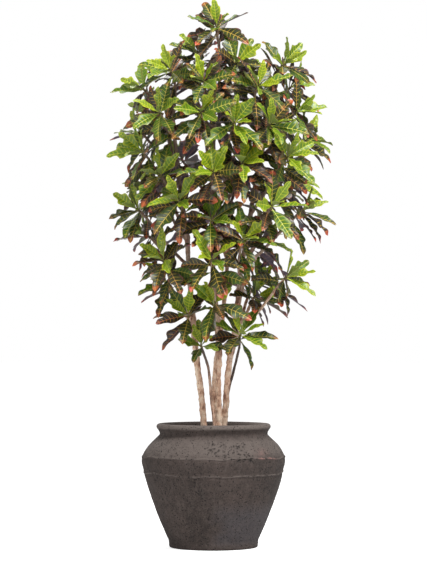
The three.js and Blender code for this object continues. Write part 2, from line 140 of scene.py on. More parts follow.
def interpolate(places: np.ndarray | float, known: np.ndarray, rows: np.ndarray) -> np.ndarray:
    """Rows of numbers at some places, worked out column by column from rows at known places."""
    return np.column_stack([np.interp(places, known, column) for column in rows.T])


def through(knots: np.ndarray, count: int) -> np.ndarray:
    """Points on a smooth curve through knots, evenly spaced between each two.

    Args:
        knots: The points the curve passes through, one a row.
        count: How many points to return, both ends included.

    Returns:
        The points, one a row.
    """
    padded = np.vstack([2 * knots[0] - knots[1], knots, 2 * knots[-1] - knots[-2]])
    places = np.linspace(0, len(knots) - 1, count)
    start = np.minimum(places.astype(int), len(knots) - 2)
    t = (places - start)[:, None]
    a, b, c, d = (padded[start + k] for k in range(4))
    return 0.5 * (2 * b + (c - a) * t + (2 * a - 5 * b + 4 * c - d) * t**2 + (3 * b - a - 3 * c + d) * t**3)


def evenly(line: np.ndarray, spacing: float) -> np.ndarray:
    """Points along a line of points, about a spacing apart.

    Args:
        line: The line's points, one a row.
        spacing: The distance between two points of the result.

    Returns:
        The points, one a row, with both ends.
    """
    lengths = lengths_along(line)
    places = np.linspace(0, lengths[-1], max(2, round(lengths[-1] / spacing) + 1))
    return interpolate(places, lengths, line)


class Draws:
    """A seeded row of numbers between 0 and 1, the same in any language."""

    FACTOR = 48271
    MODULUS = 2147483647
    SPREAD = 7919
    START = 17
    PHASES = 6.3

    def __init__(self, seed: int) -> None:
        """Starts the row at a whole-number seed."""
        self.state = seed * self.SPREAD + self.START

    def next(self) -> float:
        """The next number, from 0 to 1."""
        self.state = (self.state * self.FACTOR) % self.MODULUS
        return self.state / self.MODULUS

    def between(self, low: float, high: float) -> float:
        """The next number, from low to high."""
        return low + (high - low) * self.next()

    def phase(self) -> float:
        """The next number as the phase of a wave, over about a full turn."""
        return self.next() * self.PHASES

    def many(self, count: int) -> np.ndarray:
        """The next numbers, from 0 to 1."""
        return np.array([self.next() for _ in range(count)])


# Shader building


@dataclass(frozen=True)
class Value:
    """A shader's number, colour or vector, on which sums add Math nodes."""

    shader: Shader
    socket: bpy.types.NodeSocket

    def __add__(self, other: Value | float) -> Value:
        """Adds."""
        return self.shader.maths("ADD", self, other)

    def __radd__(self, other: float) -> Value:
        """Adds, with the number first."""
        return self.shader.maths("ADD", other, self)

    def __sub__(self, other: Value | float) -> Value:
        """Subtracts."""
        return self.shader.maths("SUBTRACT", self, other)

    def __rsub__(self, other: float) -> Value:
        """Subtracts from a number."""
        return self.shader.maths("SUBTRACT", other, self)

    def __mul__(self, other: Value | float) -> Value:
        """Multiplies."""
        return self.shader.maths("MULTIPLY", self, other)

    def __rmul__(self, other: float) -> Value:
        """Multiplies, with the number first."""
        return self.shader.maths("MULTIPLY", other, self)

    def __abs__(self) -> Value:
        """The value without its sign."""
        return self.shader.maths("ABSOLUTE", self)


class Shader:
    """A material under construction, with one method for any node and one for sums."""

    def __init__(self, name: str) -> None:
        """Starts an empty material.

        Args:
            name: The material's name.
        """
        self.material = bpy.data.materials.new(name)
        self.material.use_nodes = True
        self.tree = self.material.node_tree
        self.tree.nodes.clear()

    def node(
        self,
        kind: str,
        settings: dict[str, object] | None = None,
        inputs: dict[str | int, object] | None = None,
        output: str | int = 0,
    ) -> Value | None:
        """Adds a node.

        Args:
            kind: The node's type, without its ShaderNode prefix.
            settings: Its settings, set first. "stops" fills a colour ramp with places and colours.
            inputs: Values or links of its sockets, by name or number.
            output: The output socket to return.

        Returns:
            The output as a value, or None where the node has none.
        """
        node = self.tree.nodes.new(f"ShaderNode{kind}")
        for name, setting in (settings or {}).items():
            if name == "stops":
                self._fill_ramp(node.color_ramp, setting)
            else:
                setattr(node, name, setting)
        for name, value in (inputs or {}).items():
            socket = node.inputs[name]
            if isinstance(value, Value):
                self.tree.links.new(value.socket, socket)
            else:
                opaque = socket.type == "RGBA" and len(value) == 3
                socket.default_value = (*value, 1.0) if opaque else value
        return Value(self, node.outputs[output]) if node.outputs else None

    @staticmethod
    def _fill_ramp(ramp: bpy.types.ColorRamp, stops: Stops) -> None:
        """Sets a colour ramp's stops.

        Args:
            ramp: The ramp.
            stops: Its places and colours, in order of their places.
        """
        while len(ramp.elements) < len(stops):
            ramp.elements.new(1.0)
        for element, (place, colour) in zip(ramp.elements, stops):
            element.position = place
            element.color = (*colour, 1.0)

    def maths(self, operation: str, *values: Value | float) -> Value:
        """A sum on values, as a Math node."""
        return self.node("Math", {"operation": operation}, dict(enumerate(values)))

    def step(self, value: Value, low: Value | float, high: Value | float) -> Value:
        """A soft step from 0 at low to 1 at high."""
        inputs = {"Value": value, "From Min": low, "From Max": high}
        return self.node("MapRange", {"interpolation_type": "SMOOTHSTEP"}, inputs)

    def ramp(self, value: Value, stops: Stops) -> Value:
        """A colour picked from stops by a value."""
        return self.node("ValToRGB", {"stops": stops}, {"Fac": value})

    def mix(self, share: Value | float, first: Value | Colour, second: Value | Colour) -> Value:
        """A colour mixed from two, where a share of 1 gives the second."""
        return self.node("Mix", {"data_type": "RGBA"}, {0: share, 6: first, 7: second}, 2)

    def parts(self, vector: Value) -> tuple[Value, Value, Value]:
        """A vector's three numbers."""
        split = self.node("SeparateXYZ", None, {"Vector": vector})
        return tuple(Value(self, output) for output in split.socket.node.outputs)

    def stored(self, name: str) -> Value:
        """The vector that a mesh stores at each point under a name."""
        return self.node("Attribute", {"attribute_name": name}, None, "Vector")

    def place(self, scale: Point = (1.0, 1.0, 1.0)) -> Value:
        """The object's own coordinates, scaled along each axis."""
        place = self.node("TexCoord", None, None, "Object")
        return self.node("VectorMath", {"operation": "MULTIPLY"}, {0: place, 1: scale})

    def noise(self, place: Value, scale: float, detail: float = 3.0, rough: float = 0.55) -> Value:
        """Soft noise from about 0.3 to 0.7."""
        inputs = {"Vector": place, "Scale": scale, "Detail": detail, "Roughness": rough}
        return self.node("TexNoise", None, inputs)

    def finish(
        self,
        colour: Value,
        roughness: Value | float,
        relief: Value,
        depth: float,
        fixed: dict[str, float] | None = None,
    ) -> bpy.types.Material:
        """Adds the surface and closes the material.

        Args:
            colour: The base colour.
            roughness: The roughness.
            relief: The height that a bump follows.
            depth: The bump's full height in metres.
            fixed: Numbers set on the shader's own sockets.

        Returns:
            The material.
        """
        bump = self.node("Bump", None, {"Height": relief, "Distance": depth})
        inputs = {"Base Color": colour, "Roughness": roughness, "Normal": bump, **(fixed or {})}
        surface = self.node("BsdfPrincipled", None, inputs)
        self.node("OutputMaterial", None, {"Surface": surface})
        return self.material


# Finishes


class LeafFace(Enum):
    """The two faces of a leaf."""

    UPPER = "upper"
    UNDER = "under"


@dataclass(frozen=True)
class LeafFinish:
    """A croton leaf's colour, which runs from yellow-green when young to near black when old."""

    face: LeafFace
    blade: Stops
    vein: Stops
    midrib: Stops
    tip: tuple[Colour, Colour]
    young_vein: float
    old_vein: float
    roughness: float
    veins: int = 9
    midrib_width: float = 0.009

    GRAINS = 160.0
    BLOTCHES = 34.0
    VEINS_START = (0.07, 0.13)
    VEINS_END = (0.985, 0.94)
    RED_TIP = (0.8, 0.92)
    LOBE_TIP = 0.45
    RELIEF = 0.0006

    def material(self) -> bpy.types.Material:
        """Builds the material from the leaf's stored shape and traits.

        Returns:
            The material.
        """
        s = Shader(f"leaf_{self.face.value}")
        across, along, width = s.parts(s.stored("blade"))
        age, tint, blush = s.parts(s.stored("traits"))
        out = abs(across)
        grain = s.noise(s.place(), self.GRAINS, 3.0)
        blotch = s.noise(s.place(), self.BLOTCHES, 2.0)
        wander = along * float(self.veins) + (grain - 0.5) * 0.3
        from_vein = s.maths("PINGPONG", wander, 0.5)
        thin = s.step(out, 1.15, 0.1)
        reach = (self.young_vein + (self.old_vein - self.young_vein) * s.step(age, 0.0, 0.75)) * thin
        near_vein = s.step(from_vein, reach, reach * 0.3)
        on_blade = s.step(along, *self.VEINS_START) * s.step(along, *self.VEINS_END)
        on_vein = near_vein * on_blade
        broad = s.step(from_vein, 0.5, 0.06) * s.step(blotch, 0.38, 0.6) * on_blade
        on_midrib = s.step(abs(width), self.midrib_width, self.midrib_width * 0.45)
        shade = age + (blotch - 0.5) * 0.5
        colour = s.ramp(shade, self.blade)
        glow = broad * s.step(age, 0.5, 0.05) * 0.3
        colour = s.mix(glow, colour, s.ramp(shade, self.vein))
        margin = s.step(out, 0.6, 1.0) * s.step(age, 0.55, 0.12) * 0.7
        colour = s.mix(margin, colour, s.ramp(shade, self.vein))
        colour = s.mix(on_vein * s.step(tint, -0.3, 0.5), colour, s.ramp(age, self.vein))
        reddened = s.step(along + (blotch - 0.5) * 0.25 + (out - 0.5) * 0.06, *self.RED_TIP)
        at_lobe = s.step(out, 0.7, 1.0) * s.step(abs(along - self.LOBE_TIP), 0.09, 0.03)
        at_edge = s.step(out, 0.88, 1.0) * 0.3
        red = s.maths("MAXIMUM", reddened, at_lobe * 0.5)
        red = s.maths("MAXIMUM", red, at_edge) * blush
        colour = s.mix(red, colour, s.mix(tint, *self.tip))
        colour = s.mix(on_midrib, colour, s.ramp(age + (along - 0.5) * 0.3, self.midrib))
        relief = on_vein * 0.5 + on_midrib * 0.5 + grain * 0.35
        roughness = self.roughness + (grain - 0.5) * 0.25
        return s.finish(colour, roughness, relief, self.RELIEF, {"Specular IOR Level": 0.5})


LEAF_FINISHES = (
    LeafFinish(
        face=LeafFace.UPPER,
        blade=[
            (0.0, rgb(114, 138, 18)),
            (0.24, rgb(84, 120, 14)),
            (0.46, rgb(58, 90, 14)),
            (0.7, rgb(46, 56, 16)),
            (0.95, rgb(52, 40, 30)),
        ],
        vein=[
            (0.0, rgb(190, 190, 26)),
            (0.35, rgb(180, 180, 34)),
            (0.65, rgb(198, 180, 56)),
            (1.0, rgb(202, 152, 60)),
        ],
        midrib=[
            (0.0, rgb(186, 198, 58)),
            (0.45, rgb(190, 188, 78)),
            (0.75, rgb(196, 158, 78)),
            (1.0, rgb(186, 96, 58)),
        ],
        tip=(rgb(170, 98, 46), rgb(182, 54, 42)),
        young_vein=0.13,
        old_vein=0.09,
        roughness=0.43,
    ),
    LeafFinish(
        face=LeafFace.UNDER,
        blade=[
            (0.0, rgb(132, 156, 66)),
            (0.3, rgb(104, 118, 66)),
            (0.5, rgb(96, 84, 82)),
            (0.75, rgb(84, 68, 82)),
            (1.0, rgb(78, 66, 84)),
        ],
        vein=[(0.0, rgb(170, 184, 90)), (0.5, rgb(136, 120, 106)), (1.0, rgb(116, 94, 106))],
        midrib=[(0.0, rgb(180, 190, 100)), (0.5, rgb(150, 120, 90)), (1.0, rgb(142, 88, 80))],
        tip=(rgb(186, 74, 56), rgb(196, 50, 50)),
        young_vein=0.14,
        old_vein=0.08,
        roughness=0.5,
        midrib_width=0.011,
    ),
)


@dataclass(frozen=True)
class BarkFinish:
    """Bark with long patches, fine cracks and rings where old leaves grew, darker from a height up."""

    name: str
    light: Colour
    middle: Colour
    dark: Colour
    aloft: Colour
    top_shade: float
    shaded_from: float = 0.8
    shaded_to: float = 1.4

    LONG = (1.0, 1.0, 0.45)
    LONGER = (1.0, 1.0, 0.25)
    FLAT = (0.25, 0.25, 1.0)
    RELIEF = 0.0022

    def material(self) -> bpy.types.Material:
        """Builds the material in the object's own coordinates.

        Returns:
            The material.
        """
        s = Shader(self.name)
        patches = s.noise(s.place(self.LONG), 52.0, 4.0, 0.6)
        cracks = s.noise(s.place(self.LONGER), 210.0, 3.0, 0.7)
        rings = s.noise(s.place(self.FLAT), 150.0, 2.0)
        height = s.parts(s.place())[2]
        colour = s.ramp(patches, [(0.34, self.dark), (0.46, self.middle), (0.6, self.light)])
        colour = s.mix(s.step(cracks, 0.48, 0.34) * 0.7, colour, self.dark)
        colour = s.mix(s.step(rings, 0.6, 0.68) * 0.35, colour, self.dark)
        shaded = s.step(height + (patches - 0.5) * 0.3, self.shaded_from, self.shaded_to)
        colour = s.mix(shaded * self.top_shade, colour, self.aloft)
        relief = cracks * 0.55 + patches * 0.3 + rings * 0.35
        return s.finish(colour, 0.78 + (cracks - 0.5) * 0.3, relief, self.RELIEF)


@dataclass(frozen=True)
class StonewareFinish:
    """Unglazed grey-brown stoneware with small dark pits, dusty and with painted top light on the shoulder
    and rim, and a painted highlight on the ridges' crests.
    """

    body: Colour
    deep: Colour
    dust_and_highlight: Colour
    bluish: Colour
    scuff: Colour
    pit: Colour

    POROUS = (0.07, -0.24, 0.375)
    COOL_FOOT = (0.0, 0.04)
    COOL_TOP = (0.2, 0.12)
    SHOULDER_FOOT = (0.338, 0.372)
    SHOULDER_TOP = (0.435, 0.405)
    RIM_TOP = (0.45, 0.462)
    LONG = (1.0, 1.0, 0.15)
    RELIEF = 0.0022

    def material(self) -> bpy.types.Material:
        """Builds the material from coordinates and from the pits, ridge crests and scuffs stored in the
        mesh; the crests get a painted highlight.

        Returns:
            The material.
        """
        s = Shader("pot_stoneware")
        x, y, z = s.parts(s.place())
        pitted, ridge, scuffed = s.parts(s.stored("wear"))
        cloud = s.noise(s.place(), 5.0, 4.0, 0.6)
        mottle = s.noise(s.place(), 38.0, 4.0, 0.65)
        grit = s.noise(s.place(), 420.0, 2.0, 0.6)
        fleck = s.noise(s.place(), 170.0, 2.0, 0.6)
        streaks = s.noise(s.place(self.LONG), 60.0, 3.0, 0.6)
        colour = s.ramp(mottle * 0.5 + cloud * 0.5, [(0.38, self.deep), (0.6, self.body)])
        # Dust, and painted top light: the shoulder and, more strongly, the rim's top are lightened as if lit
        # from above.
        above = s.step(z + (cloud - 0.5) * 0.02, *self.SHOULDER_FOOT)
        on_shoulder = above * s.step(z, *self.SHOULDER_TOP)
        upward = on_shoulder + s.step(z, *self.RIM_TOP) * 1.6
        colour = s.mix(upward * (0.35 + mottle * 0.8), colour, self.dust_and_highlight)
        to_right = s.step(cloud * 0.6 + x * 0.9, 0.26, 0.44)
        cool = to_right * s.step(z, *self.COOL_TOP) * s.step(z, *self.COOL_FOOT)
        colour = s.mix(cool * 0.45, colour, self.bluish)
        colour = s.mix(s.step(streaks, 0.5, 0.68) * 0.16, colour, self.dust_and_highlight)
        colour = s.mix(s.step(fleck, 0.55, 0.68) * 0.22, colour, self.dust_and_highlight)
        colour = s.mix(s.step(fleck, 0.45, 0.34) * 0.3, colour, self.pit)
        colour = s.mix(s.step(grit, 0.56, 0.7) * 0.25, colour, self.dust_and_highlight)
        # Painted highlight, with dust, along the ridges' crests.
        colour = s.mix(ridge * s.step(mottle, 0.34, 0.5) * 0.9, colour, self.dust_and_highlight)
        colour = s.mix(scuffed * s.step(mottle, 0.36, 0.54) * 0.8, colour, self.scuff)
        distance = s.node("VectorMath", {"operation": "DISTANCE"}, {0: s.place(), 1: self.POROUS}, "Value")
        porous = s.step(distance, 0.2, 0.05)
        pits = s.maths("MAXIMUM", pitted, self._pores(s, 150.0, porous * 0.2 + 0.42))
        pits = s.maths("MAXIMUM", pits, self._pores(s, 88.0, porous * 0.12 + 0.38))
        colour = s.mix(pits * 0.9, colour, self.pit)
        relief = mottle * 0.4 + grit * 0.2 + fleck * 0.3 + streaks * 0.1 - pits * 0.8
        roughness = 0.9 + (grit - 0.5) * 0.15
        return s.finish(colour, roughness, relief, self.RELIEF, {"Specular IOR Level": 0.3})

    @staticmethod
    def _pores(s: Shader, scale: float, share: Value) -> Value:
        """Small round pores, in more of the places where the share is higher.

        Args:
            s: The material's shader.
            scale: How many cells, with a pore each at most, fit in a metre.
            share: The share of cells that have a pore, with noise added.

        Returns:
            How far each place lies in a pore.
        """
        inputs = {"Vector": s.place(), "Scale": scale}
        distance = s.node("TexVoronoi", {"voronoi_dimensions": "3D"}, inputs)
        here = s.step(s.noise(s.place(), scale * 0.4, 1.0), 1.02 - share, 0.98 - share)
        return s.step(distance, 0.26, 0.14) * here


@dataclass(frozen=True)
class SoilFinish:
    """Dark damp potting mix."""

    dark: Colour
    light: Colour

    RELIEF = 0.002

    def material(self) -> bpy.types.Material:
        """Builds the material in the object's own coordinates.

        Returns:
            The material.
        """
        s = Shader("potting_soil")
        clods = s.noise(s.place(), 120.0, 4.0, 0.7)
        grains = s.noise(s.place(), 600.0, 2.0)
        colour = s.ramp(clods, [(0.35, self.dark), (0.68, self.light)])
        relief = clods * 0.6 + grains * 0.4
        return s.finish(colour, 0.95 + (grains - 0.5) * 0.1, relief, self.RELIEF)


OLD_BARK = BarkFinish(
    name="bark",
    light=rgb(228, 204, 180),
    middle=rgb(210, 171, 144),
    dark=rgb(130, 92, 74),
    aloft=rgb(78, 62, 53),
    top_shade=0.75,
)
YOUNG_BARK = BarkFinish(
    name="young_bark",
    light=rgb(214, 182, 160),
    middle=rgb(176, 140, 118),
    dark=rgb(96, 72, 60),
    aloft=rgb(62, 54, 50),
    top_shade=0.9,
    shaded_from=0.6,
    shaded_to=0.74,
)
SIDE_BARK = replace(YOUNG_BARK, name="side_bark", shaded_from=0.5, shaded_to=0.62)
SHOOT_BARK = BarkFinish(
    name="shoot_stem",
    light=rgb(128, 118, 76),
    middle=rgb(92, 82, 54),
    dark=rgb(56, 48, 36),
    aloft=rgb(92, 82, 54),
    top_shade=0.0,
)
STONEWARE = StonewareFinish(
    body=rgb(70, 60, 56),
    deep=rgb(52, 45, 42),
    dust_and_highlight=rgb(98, 89, 84),
    bluish=rgb(76, 75, 80),
    scuff=rgb(142, 100, 94),
    pit=rgb(20, 17, 16),
)
SOIL = SoilFinish(rgb(30, 24, 20), rgb(70, 54, 42))


# Meshes


def add_object(name: str, data: bpy.types.ID) -> bpy.types.Object:
    """Makes an object and links it to the scene.

    Args:
        name: The object's name.
        data: Its mesh, camera or light.

    Returns:
        The object.
    """
    made = bpy.data.objects.new(name, data)
    bpy.context.scene.collection.objects.link(made)
    return made


@dataclass
class MeshParts:
    """Parts of one mesh, gathered in millimetres: points, faces, materials and stored vectors."""

    materials: list[bpy.types.Material]
    points: list[np.ndarray] = field(default_factory=list)
    faces: list[np.ndarray] = field(default_factory=list)
    slots: list[np.ndarray] = field(default_factory=list)
    stored: dict[str, list[np.ndarray]] = field(default_factory=dict)
    sharp: list[np.ndarray] = field(default_factory=list)
    count: int = 0

    def add(
        self,
        points: np.ndarray,
        *faces: np.ndarray,
        slot: int | np.ndarray = 0,
        sharp: np.ndarray | None = None,
        **stored: np.ndarray,
    ) -> None:
        """Adds a part.

        Args:
            points: Its points, one a row.
            *faces: Its faces, each array with rows of three or of four point numbers.
            slot: The material's place in the list, one for all faces or one for each.
            sharp: Which points lie on a sharp edge.
            **stored: Vectors to store at the points.
        """
        self.points.append(points)
        for rows in faces:
            self.faces.append(rows + self.count)
            self.slots.append(np.broadcast_to(slot, len(rows)))
        self.sharp.append(np.zeros(len(points), bool) if sharp is None else sharp)
        for name in set(self.stored) | set(stored):
            rows = self.stored.setdefault(name, [np.zeros((self.count, 3))] if self.count else [])
            rows.append(stored.get(name, np.zeros((len(points), 3))))
        self.count += len(points)

    def build(self, name: str) -> bpy.types.Object:
        """Makes the mesh and its object.

        Args:
            name: The object's name.

        Returns:
            The object, linked to the scene.
        """
        mesh = bpy.data.meshes.new(name)
        faces = [face for part in self.faces for face in part.tolist()]
        mesh.from_pydata((np.vstack(self.points) * MM).tolist(), [], faces)
        for material in self.materials:
            mesh.materials.append(material)
        mesh.polygons.foreach_set("material_index", np.concatenate(self.slots).astype(np.int32))
        mesh.polygons.foreach_set("use_smooth", np.ones(len(faces), bool))
        for key, rows in self.stored.items():
            layer = mesh.attributes.new(key, "FLOAT_VECTOR", "POINT")
            layer.data.foreach_set("vector", np.vstack(rows).astype(np.float32).ravel())
        self._mark_sharp(mesh)
        mesh.update()
        return add_object(name, mesh)

    def _mark_sharp(self, mesh: bpy.types.Mesh) -> None:
        """Marks the edges that join two points of a sharp edge.

        Args:
            mesh: The mesh.
        """
        on_edge = np.concatenate(self.sharp)
        if not on_edge.any():
            return
        ends = np.zeros(2 * len(mesh.edges), np.int32)
        mesh.edges.foreach_get("vertices", ends)
        layer = mesh.attributes.new("sharp_edge", "BOOLEAN", "EDGE")
        layer.data.foreach_set("value", on_edge[ends.reshape(-1, 2)].all(axis=1))


def ring_faces(rings: int, sides: int) -> np.ndarray:
    """Faces between rings of points.

    Args:
        rings: How many rings there are, one after the other in the list of points.
        sides: How many points each ring has.

    Returns:
        The faces, four point numbers a row.
    """
    grids = np.meshgrid(np.arange(rings - 1), np.arange(sides), indexing="ij")
    ring, side = (grid.ravel() for grid in grids)
    a = ring * sides + side
    b = ring * sides + (side + 1) % sides
    return np.column_stack([a, b, b + sides, a + sides])


def cap_faces(start: int, sides: int, middle: int, upward: bool) -> np.ndarray:
    """Faces from a ring of points to a middle point.

    Args:
        start: The number of the ring's first point.
        sides: How many points the ring has.
        middle: The number of the middle point.
        upward: Whether the faces look onward along the rings, or back.

    Returns:
        The faces, three point numbers a row.
    """
    a = np.arange(sides) + start
    b = (np.arange(sides) + 1) % sides + start
    rows = [a, b] if upward else [b, a]
    return np.column_stack([*rows, np.full(sides, middle)])


def closed_faces(rings: int, sides: int) -> list[np.ndarray]:
    """Faces of rings closed at both ends, where the two end points follow the rings.

    Args:
        rings: How many rings there are.
        sides: How many points each ring has.

    Returns:
        The faces between the rings, at the first end and at the last.
    """
    last = rings * sides
    return [
        ring_faces(rings, sides),
        cap_faces(0, sides, last, upward=False),
        cap_faces(last - sides, sides, last + 1, upward=True),
    ]


def turned(radius: np.ndarray, height: np.ndarray, angle: np.ndarray) -> np.ndarray:
    """Points of a turned body, and its two end points.

    Args:
        radius: The points' radii, one ring a row.
        height: The points' heights, one ring a row.
        angle: The angle of each point of a ring.

    Returns:
        The points, one a row, with the middles of the first ring and the last at the end.
    """
    x, y = radius * np.cos(angle), radius * np.sin(angle)
    points = np.stack([x, y, height], axis=-1).reshape(-1, 3)
    ends = [[0, 0, height[0].mean()], [0, 0, height[-1].mean()]]
    return np.vstack([points, ends])


def tube(line: np.ndarray, radii: np.ndarray) -> tuple[np.ndarray, list[np.ndarray]]:
    """A closed tube along a line, with a radius for each of its sides at each point.

    Args:
        line: The points it follows, one a row.
        radii: The radius of each ring at each side, one ring a row.

    Returns:
        Its points, and its faces as quads and two caps of triangles.
    """
    rings, sides = radii.shape
    along = unit(np.gradient(line, axis=0))
    across = unit(np.cross([0.0, 1.0, 0.0], along))
    over = np.cross(along, across)
    angle = round_angles(sides)
    spokes = across[:, None] * np.cos(angle)[:, None] + over[:, None] * np.sin(angle)[:, None]
    points = (line[:, None] + spokes * radii[..., None]).reshape(-1, 3)
    return np.vstack([points, line[0], line[-1]]), closed_faces(rings, sides)


# The tree's rule: where the wood and the leaves are


@dataclass(frozen=True)
class Trunk:
    """A trunk's line of points, with its radius at the bottom and at the top."""

    bottom: float
    top: float
    line: Sequence[Point]

    DEPTH = 120

    @property
    def points(self) -> np.ndarray:
        """The trunk's points, with one more below the soil."""
        x, y, z = self.line[0]
        return np.array([(x, y, z - self.DEPTH), *self.line], float)


TRUNKS = {
    "left": Trunk(
        12.5,
        6.5,
        [
            (-35, 5, 450), (-45, 6, 562), (-60, 8, 682), (-69, 9, 762), (-77, 10, 839),
            (-94, 12, 1063), (-102, 14, 1197), (-129, 16, 1371), (-157, 18, 1640),
        ],
    ),
    "middle": Trunk(
        12.5,
        6.5,
        [
            (22, -14, 450), (18, -15, 562), (18, -17, 643), (21, -20, 742), (14, -24, 865),
            (0, -28, 1032), (-6, -36, 1332), (2, -46, 1640), (6, -56, 1860),
        ],
    ),
    "right": Trunk(
        12.5,
        6.5,
        [
            (38, 14, 450), (48, 10, 562), (55, 6, 643), (64, 3, 724), (79, 0, 790), (98, -4, 986),
            (106, -6, 1063), (141, -10, 1267), (156, -13, 1352), (171, -15, 1448),
            (190, -18, 1533), (198, -20, 1620),
        ],
    ),
    "back": Trunk(
        11,
        6,
        [
            (10, 44, 450), (6, 48, 562), (4, 52, 640), (14, 57, 740), (30, 64, 840), (48, 84, 1010),
            (58, 112, 1220), (46, 140, 1420), (40, 152, 1570),
        ],
    ),
}
THIN_STEMS = {
    "side": Trunk(
        5.5,
        4.8,
        [(44, 40, 450), (52, 36, 562), (62, 30, 615), (84, 14, 700), (98, -30, 762), (100, -88, 806)],
    ),
    "sucker": Trunk(
        5.5,
        4.8,
        [(3, -50, 450), (1, -51, 490), (-8, -53, 562), (-14, -57, 630), (-22, -65, 693), (-45, -78, 764)],
    ),
}


@dataclass(frozen=True)
class Crown:
    """Where a leafy shoot sits, and the trunk that it grows on."""

    number: int
    place: np.ndarray
    trunk: str
    leaf_share: float = 1.0
    inner_leaves: int = 8
    aged_by: float = 0.0

    LEAN_MIDDLE = 30
    LEAN_OUTSIDE = 54
    TREE_RADIUS = 340
    TOWARDS_LIGHT = 150

    @property
    def name(self) -> str:
        """The name of the crown's node."""
        return f"leafy_shoot_{self.number:02d}"

    @property
    def axis(self) -> np.ndarray:
        """The direction it faces: outward, more so further out, and towards the light in front.

        Returns:
            The direction, with a length of one.
        """
        x, y = self.place[0], self.place[1] - self.TOWARDS_LIGHT
        reach = math.hypot(x, y)
        lean = math.radians(
            between((self.LEAN_MIDDLE, self.LEAN_OUTSIDE), min(reach / self.TREE_RADIUS, 1))
        )
        return np.array([x / reach * math.sin(lean), y / reach * math.sin(lean), math.cos(lean)])


BARE_BELOW = 1000
AGED = {1: 0.1, 2: 0.12, 6: 0.16, 24: 0.2, 36: 0.15}
CROWNS = [
    Crown(number, np.array([x, y, z], float), trunk, 1.0, 8 if z > BARE_BELOW else 3, AGED.get(number, 0))
    for number, x, y, z, trunk in (
        (1, 13, -60, 1985, "middle"), (2, -58, 30, 1895, "middle"), (3, -160, -135, 1810, "left"),
        (4, -262, -10, 1752, "left"), (5, 262, -50, 1842, "right"), (6, 290, 70, 1768, "right"),
        (7, 85, -60, 1845, "middle"), (8, 165, -180, 1745, "right"), (9, -35, -170, 1765, "middle"),
        (10, -200, -175, 1645, "left"), (11, -45, -245, 1640, "middle"), (13, -275, 20, 1590, "left"),
        (14, 75, -225, 1600, "middle"), (15, 312, -60, 1660, "right"), (16, 210, -190, 1600, "right"),
        (17, 345, 50, 1560, "right"), (18, 190, 30, 1700, "right"), (19, -262, -120, 1500, "left"),
        (20, -195, -170, 1410, "left"), (21, 0, -262, 1415, "middle"), (22, -125, -235, 1310, "left"),
        (23, -282, -50, 1285, "left"), (24, -10, -200, 1240, "middle"), (25, 275, -150, 1480, "right"),
        (26, 290, 10, 1390, "right"), (27, 105, -225, 1450, "middle"), (28, 215, -205, 1290, "right"),
        (29, 335, -20, 1285, "right"), (30, -185, -165, 1090, "left"), (31, -5, -230, 1090, "middle"),
        (32, 110, -195, 1165, "right"), (33, 270, -110, 1025, "right"), (34, -165, -40, 1000, "left"),
        (35, 5, -165, 925, "middle"), (36, -95, -90, 880, "left"),
        (38, 155, -10, 955, "right"), (40, -245, 60, 1190, "left"), (42, -120, 150, 1840, "middle"),
        (43, 110, 140, 1810, "back"), (44, -225, 170, 1670, "left"), (45, 0, 230, 1680, "back"),
        (46, 225, 190, 1630, "back"), (47, -120, 250, 1500, "back"), (48, 120, 265, 1480, "back"),
        (49, -240, 175, 1390, "left"), (50, 265, 200, 1380, "right"), (51, 0, 270, 1300, "back"),
        (53, 180, 220, 1180, "right"), (56, 165, 130, 1010, "right"),
    )
]
STEM_CROWNS = [
    Crown(number, np.array(THIN_STEMS[stem].line[-1], float), stem, leaf_share, inner_leaves)
    for number, stem, leaf_share, inner_leaves in ((37, "side", 1.0, 3), (41, "sucker", 0.75, 0))
]
ALL_CROWNS = [*CROWNS, *STEM_CROWNS]


